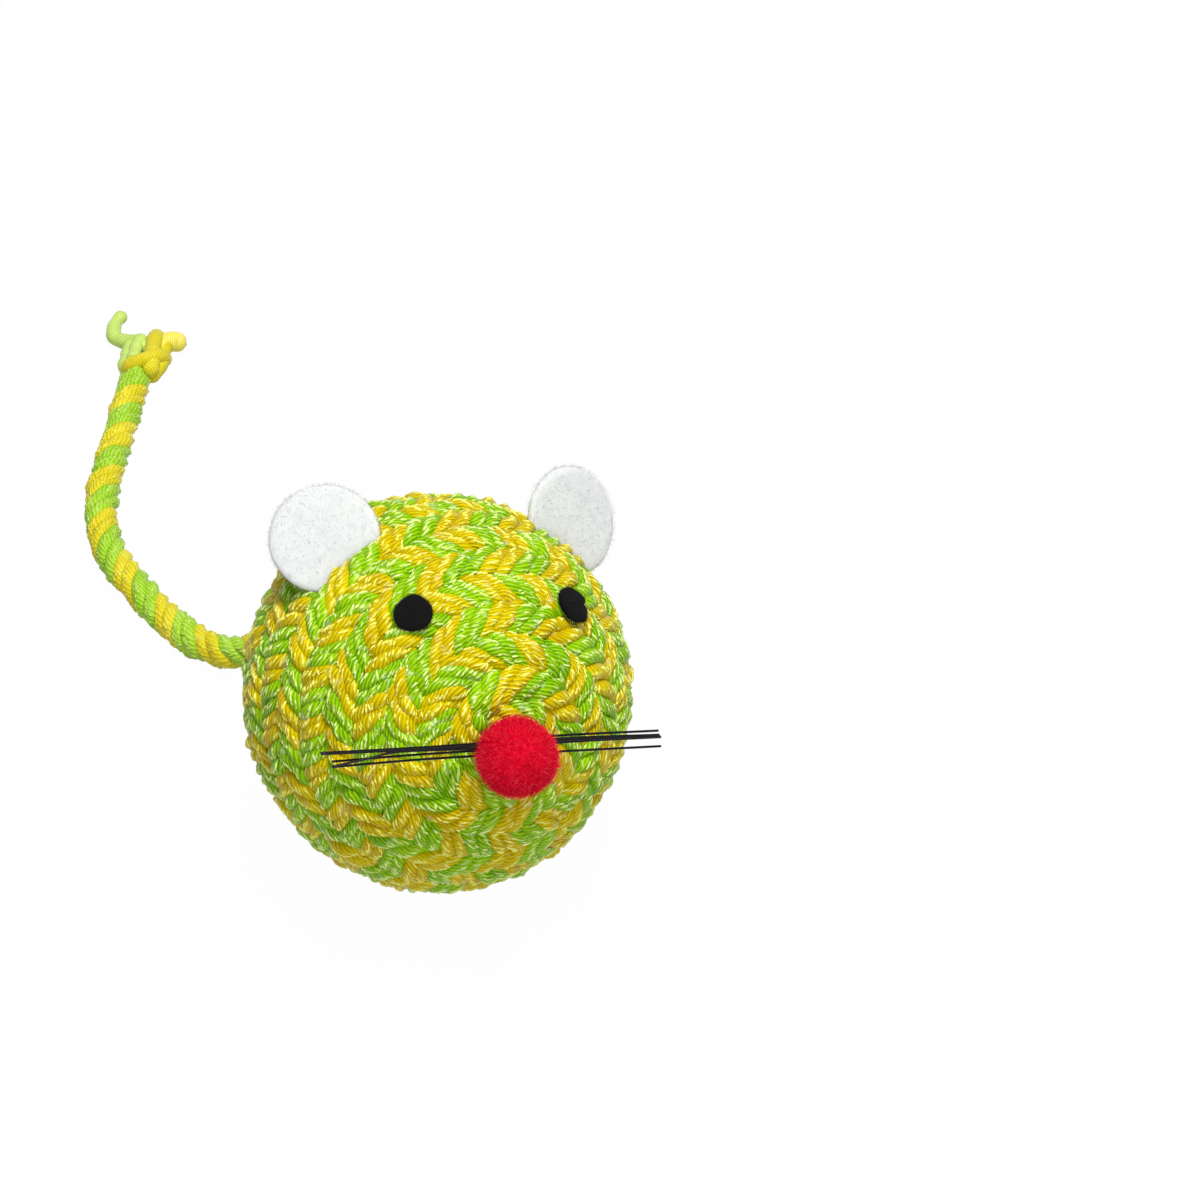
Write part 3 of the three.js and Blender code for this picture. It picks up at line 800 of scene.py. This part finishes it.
# The knot's yarns, each with its colour's slot, its radius and its route
KNOT_YARNS = [
    (1, 1.35, [
        (-7.2, 113.6, 2.0), (-6.9, 116.2, 2.9), (-5.5, 119.2, 2.9), (-3.9, 121.8, 2.4), (-3.2, 123.4, 2.2),
    ]),
    (1, 1.25, [
        (-6.2, 113.4, 3.6), (-5.2, 116.6, 4.2), (-3.6, 119.6, 4.0), (-2.0, 121.8, 3.2), (-1.6, 122.6, 2.4),
    ]),
    (0, 1.5, [
        (-4.0, 112.4, 3.6), (-2.5, 115.2, 4.7), (-1.0, 118.2, 4.5), (0.5, 120.8, 3.6), (1.2, 121.8, 2.8),
    ]),
    (0, 1.4, [
        (-4.2, 113.0, 2.0), (-1.2, 114.9, 3.2), (0.4, 117.4, 3.2), (1.8, 119.9, 2.6), (2.4, 121.0, 2.2),
    ]),
    (0, 1.3, [
        (-6.9, 116.3, 1.4), (-6.5, 115.6, 4.0), (-4.2, 114.9, 5.3), (-1.6, 115.1, 4.9), (0.0, 116.0, 2.8),
        (-1.2, 117.0, 1.4),
    ]),
]


def add_knot():
    """Yarns that bulge out of the tail's end, with a yellow one across them."""
    tubes = Tubes()
    for slot, thick, route in KNOT_YARNS:
        add_blunt_yarn(tubes, route, [thick] * 3, KNOT_SWELL, KNOT_SEED + slot, KNOT_SIDES, slot)
    knot = tubes.build("tail_knot_yarns", "yellow_tail", "green_loose")
    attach(knot, "tail")
    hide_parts("tail_knot")
    return knot


knot_piece = add_knot()

tail_axis = TOY_TURN[:, 1]
tail_exit = BALL_CENTRE + tail_axis * BALL_RADIUS
bend_start, bend_end = (to_metres(BALL_CENTRE + tail_axis * distance) for distance in TAIL_BEND)
to_metres(tail_exit)
float(lengths_along(tail_path)[-1]) * MM
[to_metres(point) for point in tail_path[::4]]
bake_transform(tail_piece)


# Wound rope: two ropes side by side spiral round the ball from under the nose to the tail's root. Turns
# count from the crown towards the toy's left, each half turn moves a rope on by one row, and the rows
# lean away from the nose a little at the crown.

ROW_ANGLE = radians(10.01)
CROWN_ROW_ANGLE = radians(47.1)
ROW_LEAN = radians(1.8)
ROW_LEAN_TURN = radians(12.6)
ROW_SIDE_WOBBLE = (0.2, 17)
ROW_DEPTH_WOBBLE = (0.1, 15)
TURN_CUTS = 60000
STEP_ALONG_YARN = 0.47
SMOOTHED_STEPS = 21

# How deep the ropes' ends go down, and over how many radians of turn
FRONT_END = (0.8, 1.5)
BACK_END = (3.4, 0.9)

# The rope pressed flat, as its width to its height, and its yarns' strokes and sides
ROPE_SPREAD = 1.72
WOUND_SLANT = radians(53)
WOUND_SIDES = 12

# Each rope's yarns, its lay, the distances from the nose axis at which its ends go down, how many rows
# it is on, and the turns, in degrees, at which its yellow pair lies outermost
WOUND_ROPES = {
    "z": {
        "handed": 1, "helix": 1.06, "radius": 1.32, "slant": WOUND_SLANT, "sides": WOUND_SIDES,
        "lay": 7.9, "ends": (2.4, 3.2), "rows_on": 0, "seed": 50,
        "yellow_turns": (
            -378, -342,
            -241, -216, -188, -162, -134, -107, -79, -50, -21, 0, 22,
            219, 236, 254, 270, 286, 303, 322, 338, 355, 374, 390,
            605, 624, 642, 660,
        ),
    },
    "s": {
        "handed": -1, "helix": 1.0, "radius": 1.38, "slant": WOUND_SLANT, "sides": WOUND_SIDES,
        "lay": 10.2, "ends": (2.4, 5.3), "rows_on": 1, "seed": 10,
        "yellow_turns": (
            -423, -371, -330, -287, -250, -211, -180, -146,
            -43, -8, 20, 51, 83, 109, 136, 162, 188, 212,
            399, 425, 450, 474, 496, 517, 538, 560,
        ),
    },
}


# The winding stands out a little at the ball's lower front, and less at its upper back
SAG_WAY = unit(np.array([-0.12, -0.62, -0.74]))
SAG_FRONT = 1.25
SAG_BACK = 0.4


def sag(outward):
    share = outward @ SAG_WAY
    return SAG_FRONT * np.clip(share, 0, 1) ** 2 + SAG_BACK * np.clip(-share, 0, 1) ** 2


# The lay is drawn out most on the ball's upper front, and drawn in low down and at the sides
PRESS_WAY = unit(np.array([-0.27, -0.4, 0.87]))
PRESS_MOST = 0.35
PRESS_LEAST = -0.25
PRESS_EDGE = 0.6
PRESS_EDGE_WIDTH = 0.3


def press_at(outward):
    share = smooth_step((outward @ PRESS_WAY - PRESS_EDGE) / PRESS_EDGE_WIDTH)
    return PRESS_LEAST + (PRESS_MOST - PRESS_LEAST) * share


def on_sphere(angle, turn, radius):
    out = radius * np.sin(angle)
    return np.stack([out * np.sin(turn), -radius * np.cos(angle), out * np.cos(turn)], axis=-1)


def end_depth(turns_left, end):
    depth, reach = end
    return depth * smooth_step(1 - turns_left / reach)


def wound_path(rope):
    """Points of a rope's centre line and its turns of lay at each, about the ball's centre."""
    lay = rope["lay"]
    radius = BALL_RADIUS - rope["helix"] - rope["radius"]
    first_out, last_out = rope["ends"]
    angles = np.array([asin(first_out / radius), pi - asin(last_out / radius)])
    first, last = (angles - CROWN_ROW_ANGLE) / ROW_ANGLE * pi
    turn = np.linspace(first, last, TURN_CUTS)
    place = turn - rope["rows_on"] * pi
    angle = CROWN_ROW_ANGLE + ROW_ANGLE * turn / pi + ROW_LEAN * np.cos(place - ROW_LEAN_TURN)
    length = lengths_along(on_sphere(angle, place, radius))
    angle = angle + uneven(length, ROW_SIDE_WOBBLE, rope["seed"]) / radius
    depth = uneven(length, ROW_DEPTH_WOBBLE, rope["seed"] + 1)
    depth = depth - end_depth(turn - first, FRONT_END) - end_depth(last - turn, BACK_END)
    path = on_sphere(angle, place, radius + depth)
    length = lengths_along(path)
    marks = np.interp(np.radians(rope["yellow_turns"]), turn, length)
    steps = np.maximum(1, np.round(np.diff(marks) / lay))
    phase = lay_phase(length, lay, marks, np.concatenate([[0], np.cumsum(steps)]))
    step = STEP_ALONG_YARN * cos(atan(TURN * rope["helix"] / lay))
    wanted = np.arange(0, length[-1], step)
    phase = np.pad(
        np.interp(wanted, length, phase), SMOOTHED_STEPS // 2, mode="reflect", reflect_type="odd",
    )
    phase = np.convolve(phase, np.ones(SMOOTHED_STEPS) / SMOOTHED_STEPS, mode="valid")
    return points_at(wanted, length, path), phase


def add_winding(name, rope):
    centre, turns = wound_path(rope)
    path = to_row(centre)
    outward = unit(path - BALL_CENTRE)
    path = path + sag(outward)[:, None] * outward
    colours = {"yellow": Tubes(), "green": Tubes()}
    lay_rope(
        [(tubes, 0) for tubes in colours.values()], path, outward, turns, rope, rope["seed"] + 3,
        spread=ROPE_SPREAD, press=press_at(outward),
    )
    for colour, tubes in colours.items():
        yarns = tubes.build(f"winding_{name}_{colour}_yarns", f"{colour}_{name}")
        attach(yarns, "ball")
        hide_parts(f"winding_rope_{name}")


for rope_name, wound_rope in WOUND_ROPES.items():
    add_winding(rope_name, wound_rope)


# Felt discs with rounded, slightly uneven rims and loose fibres

# Shares of a disc's radius at its rings, close together where the rim rounds off
DISC_RINGS = np.concatenate([np.linspace(0.08, 0.9, 9), [0.94, 0.965, 0.982, 0.993, 0.999, 1.0]])
DISC_SPOKES = 120
DISC_ROUNDING = 14

# Waves round a disc, each with its size, its number and how many seeds it is shifted by
DISC_SWELL = ((0.05, 3, 1), (0.04, 5, 2))

# Where fibres root: the share on the front, and depths as shares of the thickness
FRONT_HAIR_SHARE = 0.6
RIM_HAIR_DEPTH = 0.45
FACE_HAIR_DEPTH = 0.48
RIM_HAIR_REACH = 0.995
RIM_HAIR_PLACE = 0.98
FACE_HAIR_RISE = 0.6
HAIR_SPREAD = 0.75
HAIR_LENGTH_RANGE = (0.4, 1.0)


def fibre_blades(roots, leans, lengths, width, random):
    """Thin three-cornered blades from roots along leans."""
    across = unit(np.cross(leans, random.normal(size=leans.shape)))
    aside = across * width / 2
    return columns(roots - aside, roots + aside, roots + leans * lengths[:, None]).reshape(-1, 3)


def waves_round(turn, waves, seed):
    return sum(size * np.sin(number * turn + shift * seed) for size, number, shift in waves)


def disc_points(radius, thickness, rim, seed, cup):
    """Points of a disc from its front's middle over the rim to its back's middle."""
    turn = np.arange(DISC_SPOKES) / DISC_SPOKES * TURN
    edge = radius * rim(turn)
    half = thickness / 2 * np.sqrt(np.clip(1 - DISC_RINGS ** DISC_ROUNDING, 0, 1))
    front, back = [], []
    for share, high in zip(DISC_RINGS, half):
        x = share * edge * np.cos(turn)
        y = share * edge * np.sin(turn)
        z = cup * share ** 2 + share * waves_round(turn, DISC_SWELL, seed)
        front.append(columns(x, y, z + high))
        back.append(columns(x, y, z - high))
    return np.vstack([[[0, 0, thickness / 2]], *front, *back[-2::-1], [[0, 0, -thickness / 2]]])


def disc_faces():
    layers = 2 * len(DISC_RINGS) - 1
    end = 1 + (layers - 1) * DISC_SPOKES
    faces = []
    for k in range(DISC_SPOKES):
        after = (k + 1) % DISC_SPOKES
        faces.append((0, 1 + k, 1 + after))
        for i in range(layers - 1):
            a, b = 1 + i * DISC_SPOKES + k, 1 + i * DISC_SPOKES + after
            faces.append((a, a + DISC_SPOKES, b + DISC_SPOKES, b))
        faces.append((end + k, end + DISC_SPOKES, end + after))
    return faces


def disc_hair(radius, thickness, rim, hair, random, cup):
    """Fibres that stand out round the rim and rise from both faces."""
    count = hair["count"]
    spot = random.uniform(0, TURN, count)
    on_rim = random.uniform(size=count) < hair["rim_share"]
    place = np.where(on_rim, 1.0, np.sqrt(random.uniform(size=count)))
    by_rim = place > RIM_HAIR_PLACE
    side = np.where(random.uniform(size=count) < FRONT_HAIR_SHARE, 1, -1)
    depth = random.uniform(-RIM_HAIR_DEPTH, RIM_HAIR_DEPTH, count)
    depth = np.where(by_rim, depth, side * FACE_HAIR_DEPTH) * thickness
    ways = columns(np.cos(spot), np.sin(spot), np.zeros(count))
    roots = (place * radius * rim(spot) * RIM_HAIR_REACH)[:, None] * ways
    roots[:, 2] = depth + cup * place ** 2
    upright = FACE_HAIR_RISE * side[:, None] * np.array([0, 0, 1])
    away = np.where(by_rim[:, None], ways, upright)
    leans = unit(away + random.normal(scale=HAIR_SPREAD, size=away.shape))
    lengths = random.uniform(*HAIR_LENGTH_RANGE, count) * hair["length"]
    return fibre_blades(roots, leans, lengths, hair["width"], random)


def felt_disc(basis, centre, radius, thickness, rim, hair, seed, cup=0.0):
    """Points, loops and starts of a disc in the plane of the first two ways of basis. rim gives the
    radius share for each angle, and cup bends the rim back."""
    points = disc_points(radius, thickness, rim, seed, cup)
    blades = disc_hair(radius, thickness, rim, hair, np.random.default_rng(seed), cup)
    faces = disc_faces()
    corners = [corner for face in faces for corner in face]
    loops = np.concatenate([corners, len(points) + np.arange(len(blades))])
    sizes = np.array([len(face) for face in faces] + [3] * hair["count"])
    return np.vstack([points, blades]) @ basis + centre, loops, np.cumsum(sizes) - sizes


def sideways(side_angle, rise_angle, side):
    forward = cos(side_angle) * cos(rise_angle)
    up = cos(side_angle) * sin(rise_angle)
    return np.array([side * sin(side_angle), -forward, up])


# Ears: discs whose feet are tucked in between turns of the winding

EAR_DIAMETER = 17
EAR_THICKNESS = 1.5
EAR_TUCK = 1.9
EAR_BEND = (-0.7, 1.6)
EAR_RIM = ((0.006, 2, 1), (0.004, 7, 3))
EAR_HAIR = {"count": 2400, "rim_share": 0.35, "length": 0.8, "width": 0.045}


def add_ear(name, side, place, seed):
    stand, *degrees = place
    side_angle, rise_angle, turn_angle, lean_angle = (radians(angle) for angle in degrees)
    out = sideways(side_angle, rise_angle, side)
    level = cos(lean_angle)
    forward = level * cos(turn_angle)
    facing = np.array([side * level * sin(turn_angle), -forward, sin(lean_angle)])
    across = unit(np.cross(out, facing))
    rise = np.cross(facing, across)
    centre = out * (BALL_RADIUS + stand)

    def rim(turn):
        return 1 + waves_round(turn, EAR_RIM, seed)

    basis = np.stack([across, rise, facing])
    body, loops, starts = felt_disc(basis, centre, EAR_DIAMETER / 2, EAR_THICKNESS, rim, EAR_HAIR, seed)
    tucked = (BALL_RADIUS - EAR_TUCK) / np.linalg.norm(body, axis=1)
    body = body * np.maximum(1, tucked)[:, None]
    ear = make_mesh(f"{name}_felt", to_row(body), loops, starts, ["white_felt"])
    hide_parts(name)
    offset = centre.dot(facing)
    foot = sqrt(BALL_RADIUS ** 2 - offset ** 2)
    start, end = (to_metres(to_row(offset * facing + (foot + above) * rise)) for above in EAR_BEND)
    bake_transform(ear)


# Each ear's place: its stand, and its angles in degrees, to the side, up, in turn and in lean
add_ear("ear_left", 1, (3.1, 38.6, 90, 18.5, 16.7), 3)
add_ear("ear_right", -1, (2.4, 38.1, 87.6, 26.5, 32.6), 5)


# Eyes: cupped discs glued on. The left one has a notch in its rim.

EYE_DIAMETER = 5.8
EYE_THICKNESS = 1.0
EYE_STAND = 0.55
EYE_CUP = -0.25
EYE_RISE_ANGLE = radians(43.2)
EYE_RIM = ((0.02, 3, 1), (0.015, 5, 2))
EYE_HAIR = {"count": 2400, "rim_share": 0.6, "length": 0.42, "width": 0.035}
NOTCH_ANGLE = radians(-16)
NOTCH_WIDTH = 0.17
NOTCH_DEPTH_SHARE = 0.24


def add_eye(name, side, side_angle, seed, notch_depth):
    out = sideways(side_angle, EYE_RISE_ANGLE, side)
    across = unit(np.cross((0, 0, 1.0), out))
    basis = np.stack([across, np.cross(out, across), out])
    centre = out * (BALL_RADIUS + EYE_STAND)

    def rim(turn):
        away = np.angle(np.exp(1j * (turn - NOTCH_ANGLE)))
        notch = notch_depth * np.exp(-((away / NOTCH_WIDTH) ** 2))
        return 1 + waves_round(turn, EYE_RIM, seed) - notch

    body, loops, starts = felt_disc(
        basis, centre, EYE_DIAMETER / 2, EYE_THICKNESS, rim, EYE_HAIR, seed, cup=EYE_CUP,
    )
    eye = make_mesh(f"{name}_felt", to_row(body), loops, starts, ["black_felt"])
    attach(eye, "ball")
    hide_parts(name)


add_eye("eye_left", 1, radians(26), 7, NOTCH_DEPTH_SHARE)
add_eye("eye_right", -1, radians(24.6), 9, 0)


# Nose: a dense pompom of short fibres round a lumpy heart

NOSE_DIAMETER = 12.7
NOSE_STAND = 3.6
NOSE_SIDE = -0.25
NOSE_TRIM = 0.12
NOSE_SEAT_DEPTH = 0.2
NOSE_SEED = 21
HEART_CUTS = 5
HEART_DEPTH = 0.75
# The heart is painted darker than the fibres: painted shade deep in the pompom
HEART_PAINTED_SHADE = 0.35
FIBRE_COUNT = 19000
FIBRE_ROOT_DEPTH = 0.85
FIBRE_PLACE_SPREAD = 0.012
FIBRE_LIFT = 1.6
FIBRE_LENGTH = 1.15
FIBRE_LENGTH_SPREAD = 0.22
FIBRE_WIDTH = 0.08
FIBRE_SHADE_RANGE = (0.1, 1.1)
FIBRE_SHADE_POWER = 1.6
# Shares of a fibre's brightness at its two root corners and its tip: painted shade at the roots
FIBRE_PAINTED_SHADE_SHARES = (0.6, 0.6, 1.0)

# The heart's lumps, each with its height and its waves across
NOSE_LUMPS = ((0.12, 2), (0.1, 3), (0.1, 4), (0.05, 7), (0.05, 9), (0.05, 11), (0.05, 17))


def even_directions(count):
    i = np.arange(count) + 0.5
    height = 1 - 2 * i / count
    turn = i * pi * (3 - sqrt(5))
    out = np.sqrt(1 - height ** 2)
    return columns(out * np.cos(turn), out * np.sin(turn), height)


def even_sphere():
    """Directions and faces of a sphere of triangles."""
    ball = bmesh.new()
    bmesh.ops.create_icosphere(ball, subdivisions=HEART_CUTS, radius=1.0)
    ball.verts.index_update()
    directions = np.array([vertex.co[:] for vertex in ball.verts])
    faces = np.array([[vertex.index for vertex in face.verts] for face in ball.faces])
    ball.free()
    return unit(directions), faces


def add_nose():
    random = np.random.default_rng(NOSE_SEED)
    centre = np.array([NOSE_SIDE, -(BALL_RADIUS + NOSE_STAND), 0])
    radius = NOSE_DIAMETER / 2 - NOSE_TRIM
    waves = [
        (height, number, unit(random.normal(size=3)), random.uniform(0, TURN))
        for height, number in NOSE_LUMPS
    ]

    def lumps(ways):
        return sum(height * np.sin(ways @ way * number + start) for height, number, way, start in waves)

    directions, faces = even_sphere()
    heart = centre + directions * (radius - HEART_DEPTH + lumps(directions))[:, None]
    roots = even_directions(FIBRE_COUNT)
    roots = unit(roots + random.normal(scale=FIBRE_PLACE_SPREAD, size=roots.shape))
    leans = unit(roots + random.normal(size=roots.shape))
    inward = np.clip(-np.sum(leans * roots, axis=1, keepdims=True), 0, 1)
    leans = unit(leans + roots * inward * FIBRE_LIFT)
    lengths = random.normal(FIBRE_LENGTH, FIBRE_LENGTH_SPREAD, FIBRE_COUNT)
    starts = centre + roots * (radius - FIBRE_ROOT_DEPTH + lumps(roots))[:, None]
    blades = fibre_blades(starts, leans, lengths, FIBRE_WIDTH, random)
    verts = np.vstack([heart, blades])
    seated = (BALL_RADIUS - NOSE_SEAT_DEPTH) / np.linalg.norm(verts, axis=1)
    verts = verts * np.maximum(1, seated)[:, None]
    # Random tone of each fibre, with painted shade at its roots and on the heart
    bright = random.uniform(*FIBRE_SHADE_RANGE, FIBRE_COUNT) ** FIBRE_SHADE_POWER
    bright = bright[:, None] * np.array(FIBRE_PAINTED_SHADE_SHARES)
    shades = np.concatenate([np.full(len(heart), HEART_PAINTED_SHADE), bright.ravel()])
    loops = np.concatenate([faces.ravel(), len(heart) + np.arange(len(blades))])
    nose = make_mesh(
        "nose_fluff", to_row(verts), loops, 3 * np.arange(len(loops) // 3), ["pompom"], shades=shades,
    )
    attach(nose, "ball")
    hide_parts("nose_pompom")


add_nose()


# Whiskers: smooth monofilaments across the face behind the nose

WHISKER_DIAMETER = 0.38
WHISKER_LAYERS = (30.55, 31.2)
WHISKER_SIDES = 12
WHISKER_STEP = 0.6

# Each whisker's layer, and its places across the face and up it, from tip to tip
WHISKERS = [
    (0, ((-30.2, 1.6), (-16.2, 1.4), (-6.7, 1.4), (6.7, 1.75), (23.8, 1.45))),
    (1, ((-30.3, 1.65), (-16.4, 1.35), (-6.9, 1.3), (7.5, 1.5), (23.7, 1.0))),
    (0, ((-28.3, 0.15), (-16.1, 0.3), (-5.9, 0.3), (7.9, 0.65), (24.3, 0.4))),
    (1, ((-28.5, -0.4), (-22.7, 0.5), (-19.4, 1.1), (-6.9, 0.9), (7.5, 1.2), (23.9, 0.75))),
    (0, ((-28.3, -0.7), (-16.0, -0.5), (-5.6, -0.55), (7.6, -0.75), (24.4, -1.05))),
]


def add_whisker(index, layer, places):
    route = [(across, -WHISKER_LAYERS[layer], up) for across, up in places]
    path = to_row(spline(route, WHISKER_STEP))
    tubes = Tubes()
    tubes.add(path, carried_normals(path, (0, 0, 1)), WHISKER_DIAMETER / 2, WHISKER_SIDES)
    piece = tubes.build(f"whisker_{index}_monofilament", "whisker")
    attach(piece, "ball")
    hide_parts(f"whisker_{index}")


for number, (layer, places) in enumerate(WHISKERS, start=1):
    add_whisker(number, layer, places)


# Core: the foam ball, seen only in the deepest gaps

core = bpy.data.objects["foam_core"]
for slot in core.material_slots:
    slot.material = materials["foam"]


# Floor, world and lights. The camera sees the floor and the world as white, and their light is dimmer.

WHITE = (1, 1, 1, 1)
FLOOR_HALF_WIDTH = 3000
FLOOR_GREY = (0.6, 0.6, 0.6, 1)
FLOOR_WHITE_SHARE = 0.985
WORLD_STRENGTH = 0.27
LAMP_TARGET = (0, 20, 25)

# Each lamp's place, its width and its watts
LAMPS = {
    "key_lamp": ((80, 0, 780), 260, 5.35),
    "front_lamp": ((-140, -640, 380), 420, 1.5),
}


def add_floor():
    ways = np.array([(-1, -1, 0), (1, -1, 0), (1, 1, 0), (-1, 1, 0)])
    materials["floor"] = bpy.data.materials.new("floor_white")
    tree = emptied_tree(materials["floor"])
    diffuse = add_node(tree, "BsdfDiffuse", {"Color": FLOOR_GREY})
    white = add_node(tree, "Emission", {"Color": WHITE, "Strength": 1.0})
    rays = add_node(tree, "LightPath")
    seen = calc(tree, "MAXIMUM", rays.outputs["Is Camera Ray"], rays.outputs["Is Glossy Ray"])
    seen = calc(tree, "MAXIMUM", seen, rays.outputs["Is Transmission Ray"])
    share = calc(tree, "MULTIPLY", seen, FLOOR_WHITE_SHARE)
    both = add_node(tree, "MixShader", {0: share, 1: diffuse.outputs[0], 2: white.outputs[0]})
    add_node(tree, "OutputMaterial", {"Surface": both.outputs[0]})
    floor = make_mesh("floor", FLOOR_HALF_WIDTH * ways, [0, 1, 2, 3], [0], ["floor"])


def add_world():
    world = bpy.data.worlds.new("studio")
    tree = emptied_tree(world)
    rays = add_node(tree, "LightPath")
    dim = add_node(tree, "Background", {"Color": WHITE, "Strength": WORLD_STRENGTH})
    full = add_node(tree, "Background", {"Color": WHITE, "Strength": 1.0})
    values = {0: rays.outputs["Is Camera Ray"], 1: dim.outputs[0], 2: full.outputs[0]}
    both = add_node(tree, "MixShader", values)
    add_node(tree, "OutputWorld", {"Surface": both.outputs[0]})
    scene.world = world


add_floor()
add_world()
for name, (place, width, watts) in LAMPS.items():
    lamp = bpy.data.lights.new(name, "AREA")
    lamp.shape = "SQUARE"
    lamp.size = width * MM
    lamp.energy = watts
    add_aimed(name, lamp, place, LAMP_TARGET)
scene.view_settings.view_transform = "Standard"
